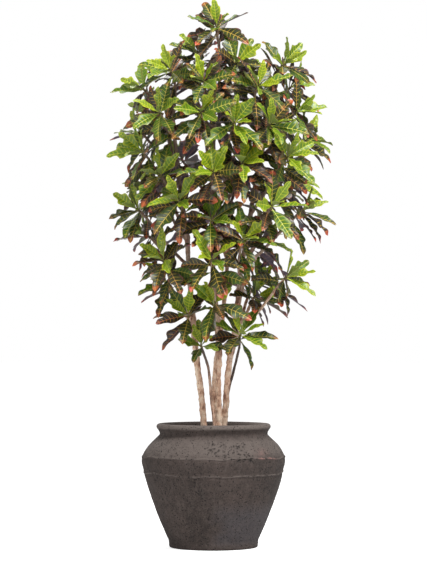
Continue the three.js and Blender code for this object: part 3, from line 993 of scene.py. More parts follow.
@dataclass
class Wood:
    """The routes of the branches, each kept clear of the wood placed before it."""

    seat_gap: float = 0.35
    branch_radii: Range = BRANCH_RADII
    lowest: float = 700
    drop: float = 70
    drop_per_reach: float = 0.75
    fork: float = 75
    fork_below_top: float = 4
    extra_drops: Sequence[float] = (0, 60, -40, 120, 180)
    side_bows: Sequence[float] = (0, 0.15, -0.15, 0.32, -0.32, 0.5, -0.5)
    out_share: float = 0.3
    up_share: float = 0.2
    arrive_share: float = 0.3
    bow_left: float = 0.5
    steps: int = 3
    clearance: float = 5
    spacing: float = 12
    line_points: int = 40
    shoot_radius: float = SHOOT_RADIUS
    shoot_length: float = 28.5
    marks: list[np.ndarray] = field(default_factory=list)
    radii: list[float] = field(default_factory=list)
    owners: list[str] = field(default_factory=list)
    routes: dict[int, np.ndarray] = field(default_factory=dict)

    def __post_init__(self) -> None:
        """Finds every branch's route, in the crowns' order."""
        for name, trunk in {**TRUNKS, **THIN_STEMS}.items():
            self._note(trunk.points, trunk.bottom, trunk.top, name)
        for crown in CROWNS:
            line = TRUNKS[crown.trunk].points
            tries = [
                self._controls(line, crown, drop, bow) for drop in self.extra_drops for bow in self.side_bows
            ]
            chosen = next((controls for controls in tries if self._is_clear(controls, crown)), tries[0])
            self.routes[crown.number] = chosen
            self._note(self.bezier(chosen, self.steps + 1), *self.branch_radii, crown.trunk)
        for crown in ALL_CROWNS:
            tip = crown.place + crown.axis * self.shoot_length
            self._note(np.array([crown.place, tip]), self.shoot_radius, self.shoot_radius, "shoot")
        self.mark_points = np.array(self.marks)
        self.mark_radii = np.array(self.radii)

    @staticmethod
    def bezier(controls: np.ndarray, count: int) -> np.ndarray:
        """Points on a cubic curve.

        Args:
            controls: Its four control points, one a row.
            count: How many points to return, both ends included.

        Returns:
            The points, one a row.
        """
        t = np.linspace(0, 1, count)[:, None]
        weights = np.hstack([(1 - t) ** 3, 3 * (1 - t) ** 2 * t, 3 * (1 - t) * t**2, t**3])
        return weights @ controls

    def line_to(self, crown: Crown) -> np.ndarray:
        """The fine line of the branch, or of the thin stem, that ends at a crown.

        Args:
            crown: The crown.

        Returns:
            The line's points, one a row.
        """
        if crown.number in self.routes:
            return self.bezier(self.routes[crown.number], self.line_points)
        return evenly(THIN_STEMS[crown.trunk].points, self.spacing)

    @staticmethod
    def _at_height(line: np.ndarray, height: float) -> np.ndarray:
        """The point on a line of points at a height.

        Args:
            line: The line's points, one a row.
            height: The height.

        Returns:
            The point, or the line's end where the line doesn't reach that height.
        """
        k = 1
        while k < len(line) - 1 and line[k, 2] < height:
            k += 1
        share = (height - line[k - 1, 2]) / (line[k, 2] - line[k - 1, 2])
        return line[k - 1] + (line[k] - line[k - 1]) * min(max(share, 0), 1)

    def _controls(self, line: np.ndarray, crown: Crown, extra_drop: float, bow: float) -> np.ndarray:
        """A branch's four control points, for one try at a route.

        Args:
            line: The trunk's points.
            crown: The crown that the branch leads to.
            extra_drop: How much lower than usual it leaves the trunk.
            bow: How far it bows sideways, as a share of its length.

        Returns:
            The control points, one a row.
        """
        end = crown.place - crown.axis * self.seat_gap
        nearby = self._at_height(line, crown.place[2])
        reach = math.hypot(end[0] - nearby[0], end[1] - nearby[1])
        drop = self.drop + self.drop_per_reach * reach + extra_drop
        highest = line[-1, 2] - self.fork_below_top
        start = self._at_height(line, min(max(end[2] - drop, self.lowest), highest))
        span = np.linalg.norm(end - start)
        outward = unit((end - start) * [1, 1, 0])
        aside = np.cross(outward, UP) * bow * span
        rise = start + outward * self.out_share * span + UP * self.up_share * span + aside
        arrive = end - crown.axis * self.arrive_share * span + aside * self.bow_left
        return np.array([start, rise, arrive, end])

    def _divided(self, points: np.ndarray) -> np.ndarray:
        """A broken line with each straight step divided evenly.

        Args:
            points: The line's points, one a row.

        Returns:
            The points, with those between them.
        """
        rows = []
        for a, b in zip(points, points[1:]):
            parts = math.ceil(np.linalg.norm(b - a) / self.spacing)
            rows.extend(a + (b - a) * part / parts for part in range(parts))
        return np.array([*rows, points[-1]])

    def _note(self, points: np.ndarray, bottom: float, top: float, owner: str) -> None:
        """Notes the wood along a line, so that later wood and the leaves keep clear of it.

        Args:
            points: The line's points, one a row.
            bottom: The wood's radius at the line's start.
            top: Its radius at the line's end.
            owner: The trunk that it belongs to.
        """
        rows = self._divided(points)
        self.marks.extend(rows)
        self.radii.extend(between((bottom, top), k / (len(rows) - 1)) for k in range(len(rows)))
        self.owners.extend([owner] * len(rows))

    def _is_clear(self, controls: np.ndarray, crown: Crown) -> bool:
        """Whether a branch keeps clear of other wood. Near its fork it may meet its own trunk.

        Args:
            controls: The branch's four control points.
            crown: The crown that it leads to.

        Returns:
            True where it is clear.
        """
        rows = self._divided(self.bezier(controls, self.steps + 1))
        gaps = np.linalg.norm(rows[:, None] - np.array(self.marks), axis=2)
        enough = gaps >= self.branch_radii[0] + np.array(self.radii) + self.clearance
        own = np.array(self.owners) == crown.trunk
        by_fork = np.linalg.norm(rows - rows[0], axis=1) < self.fork
        return bool((enough | (own & by_fork[:, None])).all())


@dataclass(frozen=True)
class Whorl:
    """Ranges for the leaves of one whorl: length, degrees from the shoot's axis, droop and age."""

    length: Range
    polar: Range
    droop: Range
    age: Range
    azimuth_play: float = 24
    roll_play: float = 34
    share_old: float = 0.0

    OLD = (0.6, 0.98)


SHOOT_WHORLS = [
    Whorl((126, 150), (64, 92), (0.06, 0.24), (0.34, 0.92), share_old=0.16),
    Whorl((116, 140), (46, 68), (0.03, 0.16), (0.1, 0.42), share_old=0.14),
    Whorl((92, 118), (22, 44), (0.0, 0.1), (0.0, 0.22), share_old=0.05),
]
INNER_LEAF = Whorl((112, 142), (68, 108), (0.06, 0.3), (0.5, 1.0), azimuth_play=40)
BUD_LEAF = Whorl((50, 86), (14, 44), (0.0, 0.08), (0.0, 0.08), azimuth_play=40)


@dataclass(frozen=True)
class Leaf:
    """One leaf: where it is rooted and how it lies. Shares are of its length."""

    crown: int
    root: np.ndarray
    direction: np.ndarray
    side: np.ndarray
    length: float
    droop: float
    roll: float
    age: float

    LOBE = (0.59, 0.215)
    LOBE_RIB = 0.42
    WAIST = (0.7, 0.1)
    TIP = (0.87, 0.1)
    FOLD = 0.34
    RIB_THICKNESS = 2
    CLEAR_START = 0.17
    ROOT_END = 0.05
    ROOT_THICKNESS = 4
    SHEET = (
        (9, 2, 1), (9, 1, 0), (0, 1, 4), (0, 4, 3), (1, 2, 4),
        (2, 5, 4), (3, 4, 6), (4, 8, 6), (4, 7, 8), (4, 5, 7),
    )

    def at(
        self,
        along: np.ndarray,
        across: np.ndarray,
        offset: np.ndarray | float = 0.0,
        twist: np.ndarray | float = 0.0,
    ) -> np.ndarray:
        """Points of the leaf.

        Args:
            along: Shares of the length from the stem.
            across: Signed shares of the length across.
            offset: Millimetres off the middle surface.
            twist: An angle added to the roll.

        Returns:
            The points, one a row.
        """
        s = np.asarray(along, float)[:, None]
        place = self.root + self.direction * self.length * s - UP * self.length * self.droop * s * s
        tangent = unit(self.direction - UP * 2 * self.droop * s)
        level = unit(self.side - tangent * (tangent @ self.side)[:, None])
        face = np.cross(tangent, level)
        roll = np.broadcast_to(self.roll + twist, len(s))[:, None]
        side = level * np.cos(roll) + face * np.sin(roll)
        lift = self.FOLD * np.abs(across) * self.length + offset
        return place + side * (across * self.length)[:, None] + np.cross(tangent, side) * lift[:, None]

    def sheet(self, offset: float, start: float, start_offset: float | None = None) -> np.ndarray:
        """The leaf as ten triangles without thickness, for tests of where leaves cross.

        Args:
            offset: Millimetres off the middle surface.
            start: Where the sheet starts, as a share of the length.
            start_offset: The offset at its start, where it differs.

        Returns:
            The triangles' corners.
        """
        (lobe, lobe_half), (waist, waist_half), (tip, tip_half) = self.LOBE, self.WAIST, self.TIP
        along = np.array([lobe, self.LOBE_RIB, lobe, waist, waist, waist, tip, tip, 1, start])
        across = np.array(
            [lobe_half, 0, -lobe_half, waist_half, 0, -waist_half, tip_half, -tip_half, 0, 0]
        )
        offsets = np.full(10, float(offset))
        offsets[9] = offset if start_offset is None else start_offset
        return self.at(along, across, offsets)[np.array(self.SHEET)]

    def sheets(self, start: float, gap: float) -> np.ndarray:
        """Three sheets, the middle one and one a gap to each side of it."""
        return np.concatenate([self.sheet(offset, start) for offset in (0, gap, -gap)])

    def faces(self) -> np.ndarray:
        """The two faces as sheets, as far apart at the stem as the leaf's base."""
        half, root_half = self.RIB_THICKNESS / 2, self.ROOT_THICKNESS / 2
        return np.concatenate([self.sheet(way * half, self.ROOT_END, way * root_half) for way in (1, -1)])


def sheets_cross(one: np.ndarray, other: np.ndarray) -> bool:
    """Whether the edges of either set of triangles pass through a triangle of the other."""
    return edges_pierce(one, other) or edges_pierce(other, one)


def edges_pierce(edged: np.ndarray, faces: np.ndarray) -> bool:
    """Whether an edge of some triangles passes through one of some faces.

    Args:
        edged: The triangles whose edges are tested.
        faces: The triangles that they may pass through.

    Returns:
        True where one does.
    """
    start = edged.reshape(-1, 1, 3)
    along = np.roll(edged, -1, axis=1).reshape(-1, 1, 3) - start
    a = faces[None, :, 0]
    ab = faces[None, :, 1] - a
    ac = faces[None, :, 2] - a
    normal = np.cross(along, ac)
    facing = (ab * normal).sum(-1)
    usable = np.abs(facing) >= 1e-9
    facing = np.where(usable, facing, 1.0)
    offset = start - a
    u = (offset * normal).sum(-1) / facing
    square = np.cross(offset, ab)
    v = (along * square).sum(-1) / facing
    share = (ac * square).sum(-1) / facing
    inside = (u >= 0) & (u <= 1) & (v >= 0) & (u + v <= 1)
    return bool((usable & inside & (share >= 0) & (share <= 1)).any())


@dataclass
class Growth:
    """A crown that grows leaves by its own draws, with two directions square to its axis."""

    crown: Crown
    draws: Draws

    def __post_init__(self) -> None:
        """Turns the two directions by the first draw."""
        self.axis = self.crown.axis
        turn = self.draws.next() * FULL_TURN
        level = unit(np.array([-self.axis[1], self.axis[0], 0.0]))
        upright = np.cross(self.axis, level)
        self.first = level * math.cos(turn) + upright * math.sin(turn)
        self.second = np.cross(self.axis, self.first)

    def outward(self, angle: float) -> np.ndarray:
        """The direction square to the axis at an angle."""
        return self.first * math.cos(angle) + self.second * math.sin(angle)

    def leaf(self, whorl: Whorl, root: np.ndarray, azimuth: float) -> Leaf:
        """A leaf by the next draws, used as azimuth, polar, length, droop and roll.

        Args:
            whorl: The ranges for this leaf.
            root: Where it is rooted.
            azimuth: Its middle direction round the shoot.

        Returns:
            The leaf, at the youngest age of its whorl.
        """
        angle = azimuth + math.radians((2 * self.draws.next() - 1) * whorl.azimuth_play)
        polar = math.radians(between(whorl.polar, self.draws.next()))
        outward = self.outward(angle)
        direction = self.axis * math.cos(polar) + outward * math.sin(polar)
        length = between(whorl.length, self.draws.next()) * self.crown.leaf_share
        droop = between(whorl.droop, self.draws.next()) * math.hypot(direction[0], direction[1])
        roll = math.radians((2 * self.draws.next() - 1) * whorl.roll_play)
        side = np.cross(self.axis, outward)
        return Leaf(self.crown.number, root, direction, side, length, droop, roll, whorl.age[0])


@dataclass
class Foliage:
    """Places every crown's leaves, each clear of the wood and of the leaves placed before it."""

    wood: Wood
    clearance: float = 3.8
    to_bark: float = 7
    tries: int = 14
    extra_tries: int = 12
    whorl_height: float = 6.5
    ring_taper: float = 0.08
    sides: int = 6
    bud_leaves: int = 4
    bud_spacing: float = 0.06
    inner_start: float = 4
    inner_spacing: float = 9
    inner_depth: float = 0.7
    reach: float = 0.62
    edge_shares: Sequence[float] = (0, 0.25, 0.5, 0.75)
    leaves: list[Leaf] = field(default_factory=list)
    middles: list[np.ndarray] = field(default_factory=list)
    tests: list[tuple[np.ndarray, np.ndarray, np.ndarray]] = field(default_factory=list)

    def __post_init__(self) -> None:
        """Places the shoots' nine leaves first, then the inner leaves and the young leaves."""
        for crown in ALL_CROWNS:
            self._place_whorls(crown)
        for crown in ALL_CROWNS:
            self._place_more(crown)

    def _place_whorls(self, crown: Crown) -> None:
        """Places the leaves that grow from the shoot's sides.

        Args:
            crown: The crown.
        """
        growth = Growth(crown, Draws(Seed.WHORLS + crown.number))
        for ring, whorl in enumerate(SHOOT_WHORLS):
            for k in range(3):
                number = (2 * k + ring) % self.sides
                lower = self._corner(growth, ring, number)
                upper = self._corner(growth, ring + 1, number + 1)
                azimuth = (number + 0.5) * math.pi / 3
                self._try_leaf(growth, whorl, (lower + upper) * 0.5, azimuth, self.tries)

    def _corner(self, growth: Growth, ring: int, number: int) -> np.ndarray:
        """A corner of the six-sided stem tip.

        Args:
            growth: The crown that the stem tip belongs to.
            ring: The corner's ring, from 0 at the bottom.
            number: Its number in the ring.

        Returns:
            The corner.
        """
        radius = self.wood.shoot_radius * (1 - self.ring_taper * ring)
        angle = (number % self.sides) * math.pi / 3
        middle = growth.crown.place + growth.axis * ring * self.whorl_height
        return middle + growth.first * radius * math.cos(angle) + growth.second * radius * math.sin(angle)

    def _place_more(self, crown: Crown) -> None:
        """Adds young leaves round the bud, and old leaves on the branch below the crown.

        Args:
            crown: The crown.
        """
        growth = Growth(crown, Draws(Seed.MORE_LEAVES + crown.number))
        top = growth.axis * (3 * self.whorl_height + 2)
        for k in range(self.bud_leaves):
            root = crown.place + top * (1 + self.bud_spacing * k)
            self._try_leaf(growth, BUD_LEAF, root, k * GOLDEN_TURN, self.extra_tries)
        line = self.wood.line_to(crown)[::-1]
        from_end = lengths_along(line)
        for k in range(crown.inner_leaves):
            azimuth = k * GOLDEN_TURN
            middle = interpolate(self.inner_start + self.inner_spacing * k, from_end, line)[0]
            root = middle + growth.outward(azimuth) * self.wood.shoot_radius * self.inner_depth
            self._try_leaf(growth, INNER_LEAF, root, azimuth, self.extra_tries)

    def _try_leaf(self, growth: Growth, whorl: Whorl, root: np.ndarray, azimuth: float, tries: int) -> None:
        """Tries a leaf at varied angles until it is clear, or leaves it out.

        Args:
            growth: The crown that grows it.
            whorl: The ranges for this leaf.
            root: Where it is rooted.
            azimuth: Its middle direction round the shoot.
            tries: How many times to try.
        """
        for _ in range(tries):
            leaf = growth.leaf(whorl, root, azimuth)
            if self._is_clear(leaf):
                _, chance, share = Draws(Seed.AGES + len(self.leaves)).many(3)
                ages = whorl.OLD if chance < whorl.share_old else whorl.age
                self._keep(replace(leaf, age=between(ages, share) + growth.crown.aged_by))
                return

    def _keep(self, leaf: Leaf) -> None:
        """Keeps a leaf, and what later leaves are tested against.

        Args:
            leaf: The leaf.
        """
        self.leaves.append(leaf)
        self.middles.append(leaf.at(np.array([0.5]), np.array([0.0]))[0])
        self.tests.append((leaf.sheet(0, Leaf.CLEAR_START), leaf.faces(), leaf.sheet(0, 0)))

    def _is_clear(self, leaf: Leaf) -> bool:
        """Whether a leaf keeps clear of the leaves placed so far, and of the wood.

        Args:
            leaf: The leaf.

        Returns:
            True where it is clear.
        """
        middle = leaf.at(np.array([0.5]), np.array([0.0]))[0]
        sheets = leaf.sheets(Leaf.CLEAR_START, self.clearance)
        corners = sheets[:10].reshape(-1, 3)
        following = np.roll(sheets[:10], -1, axis=1).reshape(-1, 3)
        on_edges = np.concatenate([corners + (following - corners) * share for share in self.edge_shares])
        near = np.linalg.norm(self.wood.mark_points - middle, axis=1) < leaf.length
        gaps = np.linalg.norm(on_edges[:, None] - self.wood.mark_points[near], axis=2)
        if (gaps < self.wood.mark_radii[near] + self.to_bark).any():
            return False
        if not self.leaves:
            return True
        lengths = np.array([other.length for other in self.leaves])
        distances = np.linalg.norm(np.array(self.middles) - middle, axis=1)
        close = np.flatnonzero(distances < self.reach * (lengths + leaf.length))
        own = [self.tests[k] for k in close if self.leaves[k].crown == leaf.crown]
        others = [self.tests[k][2] for k in close if self.leaves[k].crown != leaf.crown]
        if own:
            if sheets_cross(leaf.faces(), np.concatenate([faces for _, faces, _ in own])):
                return False
            if sheets_cross(sheets, np.concatenate([sheet for sheet, _, _ in own])):
                return False
        return not others or not sheets_cross(leaf.sheets(0, self.clearance), np.concatenate(others))


# Pieces


@dataclass
class LeafBlade:
    """A leaf's fine surface: a grid of rows that slant forward as the side veins do."""

    rows: int = 27
    rows_per_vein: int = 3
    columns: np.ndarray = field(
        default_factory=lambda: np.array([-1, -0.72, -0.4, -0.1, 0, 0.1, 0.4, 0.72, 1.0])
    )
    start: float = -0.03
    thickness: float = 0.9
    stalk_thickness: float = 2.2
    keel: float = 0.9
    quilting: float = 0.9

    EDGE = (
        (-0.03, -0.03, 0.013), (0.05, 0.05, 0.013), (0.09, 0.11, 0.034), (0.15, 0.2, 0.076),
        (0.25, 0.33, 0.128), (0.35, 0.46, 0.176), (0.44, 0.55, 0.21), (0.5, 0.61, 0.218),
        (0.545, 0.655, 0.196), (0.58, 0.68, 0.15), (0.62, 0.705, 0.112), (0.68, 0.75, 0.098),
        (0.745, 0.81, 0.101), (0.81, 0.87, 0.101), (0.87, 0.92, 0.084), (0.93, 0.96, 0.055),
        (0.975, 0.985, 0.026), (1.0, 1.0, 0.008),
    )
    EDGE_POINTS = 400
    LOBE_AT = (0.48, 0.1)
    WAIST_AT = (0.64, 0.07)
    LOBES = (0.84, 1.1)
    WAISTS = (0.85, 1.3)
    WIDTHS = (0.88, 1.06)
    WAVES = (2.2, 3.6)
    WAVE_DEPTHS = (0.008, 0.03)
    HOLLOWS = (-0.25, 0.6)
    TIP_DROPS = (0.0, 0.1)
    TWISTS = (-0.6, 0.6)
    BENDS = (-0.03, 0.03)

    def __post_init__(self) -> None:
        """Works out the grid that all leaves share."""
        dense = through(np.array(self.EDGE), self.EDGE_POINTS)
        self.rib = np.linspace(self.start, 1, self.rows + 1)
        self.edge_along, self.half = interpolate(self.rib, dense[:, 0], dense[:, 1:]).T
        wide = len(self.columns)
        upper = np.arange((self.rows + 1) * wide).reshape(-1, wide)
        under = upper.copy()
        inner = np.arange((self.rows - 1) * (wide - 2)).reshape(-1, wide - 2)
        under[1:-1, 1:-1] = inner + upper.size
        self.faces = np.vstack([self._quads(upper), self._quads(under)[:, ::-1]])
        self.slots = np.repeat([0, 1], len(self.faces) // 2)
        rim = np.ones_like(upper, bool)
        rim[1:-1, 1:-1] = False
        self.sharp = np.concatenate([rim.ravel(), np.zeros(inner.size, bool)])

    @staticmethod
    def _quads(grid: np.ndarray) -> np.ndarray:
        """The faces between a grid's points, seen from above."""
        corners = [grid[:-1, :-1], grid[1:, :-1], grid[1:, 1:], grid[:-1, 1:]]
        return np.column_stack([corner.ravel() for corner in corners])

    def add_to(self, parts: MeshParts, leaf: Leaf, draws: Draws) -> None:
        """Adds a leaf, with small differences of shape by its own draws.

        Args:
            parts: The mesh to add to.
            leaf: The leaf.
            draws: The leaf's draws.
        """
        lobe = draws.between(*self.LOBES)
        waist = draws.between(*self.WAISTS)
        width = draws.between(*self.WIDTHS)
        at_lobe = (lobe - 1) * hump(self.rib, *self.LOBE_AT)
        at_waist = (waist - 1) * hump(self.rib, *self.WAIST_AT)
        half = self.half * width * (1 + at_lobe + at_waist)
        t, row = np.meshgrid(self.columns, np.arange(self.rows + 1))
        out = np.abs(t)
        rib = self.rib[row]
        along = rib + (self.edge_along[row] - rib) * out
        across = half[row] * t
        on_blade = smooth_step(rib, 0.08, 0.2) * smooth_step(rib, 1.0, 0.9)
        waves = draws.between(*self.WAVES)
        right, left = draws.phase(), draws.phase()
        depth = draws.between(*self.WAVE_DEPTHS) * leaf.length
        wave = np.sin(waves * FULL_TURN * rib + np.where(t > 0, right, left))
        lift = depth * out**2 * wave * on_blade
        lift += draws.between(*self.HOLLOWS) * half[row] * leaf.length * out * (1 - out)
        lift -= draws.between(*self.TIP_DROPS) * leaf.length * smooth_step(rib, 0.72, 1.1)
        swelling = np.sin(math.pi * (row / self.rows_per_vein)) ** 2
        puff = swelling * smooth_step(out, 0.02, 0.3) * (1 - out**4)
        lift += self.quilting * puff * on_blade
        stalk = smooth_step(rib, 0.16, 0.04)
        thick = (self.thickness + (self.stalk_thickness - self.thickness) * stalk) * (1 - out**4)
        ridge = hump(out, 0, 0.1) * (1 - 0.6 * np.clip(rib, 0, 1))
        upper = lift + 0.5 * thick + 0.25 * ridge
        under = lift - 0.5 * thick - self.keel * ridge
        rim = self.sharp[: t.size].reshape(t.shape)
        upper[rim] = lift[rim]
        twist = draws.between(*self.TWISTS) * (along - 0.4)
        bend = draws.between(*self.BENDS) * along**2
        shape = (along.ravel(), (across + bend).ravel())
        inside = ~rim.ravel()
        points = leaf.at(*shape, upper.ravel(), twist.ravel())
        below = leaf.at(shape[0][inside], shape[1][inside], under.ravel()[inside], twist.ravel()[inside])
        blade = np.stack([t, row / self.rows, across], axis=-1).reshape(-1, 3)
        blade = np.vstack([blade, blade[inside]])
        blush = smooth_step(np.array(leaf.age), 0.3, 0.75) * draws.between(0.1, 1.0)
        traits = np.tile([leaf.age, draws.next(), float(blush)], (len(blade), 1))
        points = np.vstack([points, below])
        parts.add(points, self.faces, slot=self.slots, sharp=self.sharp, blade=blade, traits=traits)


@dataclass
class LeafyShoot:
    """One crown: a green stem tip with its whorls of leaves."""

    crown: Crown
    leaves: Sequence[Leaf]
    blade: LeafBlade
    materials: list[bpy.types.Material]
    stem_sides: int = 12
    stem_rings: int = 16
    stem_length: float = 24.0
    stem_radius: float = SHOOT_RADIUS
    scar_spacing: float = 5.5

    def build(self) -> bpy.types.Object:
        """Makes the crown's mesh and hides the plain solid that it stands for.

        Returns:
            The piece.
        """
        parts = MeshParts(self.materials)
        draws = Draws(Seed.BLADES + self.crown.number)
        self._add_stem(parts, draws)
        for leaf in self.leaves:
            self.blade.add_to(parts, leaf, draws)
        made = parts.build(f"{self.crown.name}_fine")
        return finish_piece(made, self.crown.name)

    def _add_stem(self, parts: MeshParts, draws: Draws) -> None:
        """Adds the stem tip, ringed where leaves grew and rounded off at its bud.

        Args:
            parts: The mesh to add to.
            draws: The shoot's draws.
        """
        share = np.linspace(0, 1, self.stem_rings)
        line = self.crown.place + self.crown.axis * (share * self.stem_length)[:, None]
        taper = np.sqrt(np.clip(1 - share**4, 0.01, 1)) * (1 - 0.25 * share)
        ringed = 1 + 0.09 * np.cos(share * self.stem_length * FULL_TURN / self.scar_spacing)
        uneven = 1 + 0.06 * np.sin(3 * round_angles(self.stem_sides) + draws.next() * 6)
        points, faces = tube(line, self.stem_radius * (taper * ringed)[:, None] * uneven)
        parts.add(points, *faces, slot=2)


def finish_piece(made: bpy.types.Object, node: str) -> bpy.types.Object:
    """Fixes a piece to the model and hides the solid that it replaces.

    Args:
        made: The piece.
        node: The name of the solid that it replaces.

    Returns:
        The piece.
    """
    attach(made, "root")
    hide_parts(node)
    LOG.info("%s: %d faces", made.name, len(made.data.polygons))
    return made


@dataclass
class WoodPiece:
    """A trunk grown as one with its branches."""

    name: str
    trunk: Trunk
    branches: Sequence[np.ndarray]
    material: bpy.types.Material
    slot: str
    seed: int
    spacing: float = 5.0
    sides: int = 20
    branch_spacing: float = 6.0
    branch_sides: int = 12
    branch_radii: Range = BRANCH_RADII
    flare: float = 0.55
    flare_reach: float = 14
    fork_swell: float = 1.6
    fork_reach: float = 16

    TRUNK_POINTS = 200
    BRANCH_POINTS = 60
    FOLDS = ((1, 0.07, 0.03), (2, 0.07, 0.006), (3, 0.06, -0.011), (5, 0.035, 0.019))
    RING_SPACINGS = (17, 23)
    FIRST_KNOT = (20, 90)
    KNOT_SPACINGS = (20, 56)
    KNOT_HEIGHTS = (0.12, 0.32)
    KNOT_LENGTHS = (5, 9)
    KNOT_WIDTH = 0.7

    def build(self) -> bpy.types.Object:
        """Makes the wood, joined into one body, and hides the plain solid that it stands for.

        Returns:
            The piece.
        """
        draws = Draws(self.seed)
        line = evenly(through(self.trunk.points, self.TRUNK_POINTS), self.spacing)
        radii = self._bark(line, self.trunk.bottom, self.trunk.top, self.sides, draws)
        for controls in self.branches:
            from_fork = np.linalg.norm(line - controls[0], axis=1)
            radii += self.fork_swell * hump(from_fork, 0, self.fork_reach)[:, None]
        trunk = self._solid(line, radii)
        branches = [self._branch(controls, draws) for controls in self.branches]
        if branches:
            self._join(trunk, branches)
        return finish_piece(trunk, self.name)

    def _branch(self, controls: np.ndarray, draws: Draws) -> bpy.types.Object:
        """One branch, wider at its fork.

        Args:
            controls: Its four control points.
            draws: The piece's draws.

        Returns:
            The branch as an object of its own.
        """
        line = evenly(Wood.bezier(controls, self.BRANCH_POINTS), self.branch_spacing)
        radii = self._bark(line, *self.branch_radii, self.branch_sides, draws)
        from_fork = np.linalg.norm(line - line[0], axis=1)
        radii *= (1 + self.flare * np.exp(-from_fork / self.flare_reach))[:, None]
        return self._solid(line, radii)

    def _bark(self, line: np.ndarray, bottom: float, top: float, sides: int, draws: Draws) -> np.ndarray:
        """Radii with soft ridges, rings where leaves grew, and knots.

        Args:
            line: The line the wood follows.
            bottom: The radius at its start.
            top: The radius at its end.
            sides: How many radii a ring has.
            draws: The piece's draws.

        Returns:
            The radii, one ring a row.
        """
        far = lengths_along(line)[:, None]
        angle = round_angles(sides)[None]
        base = bottom + (top - bottom) * far / far[-1]
        relief = np.zeros((len(line), sides))
        for fold, height, drift in self.FOLDS:
            relief += height * np.sin(fold * angle + draws.phase() + drift * far)
            relief += 0.7 * height * np.sin(far * draws.between(0.07, 0.2) + fold * angle)
        spacing = draws.between(*self.RING_SPACINGS)
        relief += 0.045 * np.cos(far * FULL_TURN / spacing + 0.7 * np.sin(angle))
        knots = np.zeros_like(relief)
        place = draws.between(*self.FIRST_KNOT)
        while place < far[-1, 0]:
            gap = np.abs(angles_from(angle, draws.between(0, FULL_TURN)))
            high, long = draws.between(*self.KNOT_HEIGHTS), draws.between(*self.KNOT_LENGTHS)
            knots += high * hump(far, place, long) * hump(gap, 0, self.KNOT_WIDTH)
            place += draws.between(*self.KNOT_SPACINGS)
        return base * (1 + relief + knots)

    def _solid(self, line: np.ndarray, radii: np.ndarray) -> bpy.types.Object:
        """A closed tube as an object.

        Args:
            line: The points it follows, one a row.
            radii: Its radii, one ring a row.

        Returns:
            The object.
        """
        parts = MeshParts([self.material])
        points, faces = tube(line, radii)
        parts.add(points, *faces)
        return parts.build(f"{self.name}_fine")

    def _join(self, trunk: bpy.types.Object, branches: Sequence[bpy.types.Object]) -> None:
        """Unites branches with their trunk, and removes them.

        Args:
            trunk: The trunk, whose mesh is replaced.
            branches: The branches.
        """
        collection = bpy.context.scene.collection
        tools = bpy.data.collections.new(f"{self.name}_branches")
        collection.children.link(tools)
        for branch in branches:
            collection.objects.unlink(branch)
            tools.objects.link(branch)
        join = trunk.modifiers.new("branches", "BOOLEAN")
        join.operation = "UNION"
        join.operand_type = "COLLECTION"
        join.collection = tools
        join.solver = "MANIFOLD"
        graph = bpy.context.evaluated_depsgraph_get()
        mesh = bpy.data.meshes.new_from_object(trunk.evaluated_get(graph))
        trunk.modifiers.clear()
        trunk.data = mesh
        for branch in branches:
            bpy.data.objects.remove(branch)
        bpy.data.collections.remove(tools)


@dataclass(frozen=True)
class PitZone:
    """Where some pits are: ranges of degrees round the pot, of height and of size, and how many."""

    turn: Range
    height: Range
    size: Range
    count: int


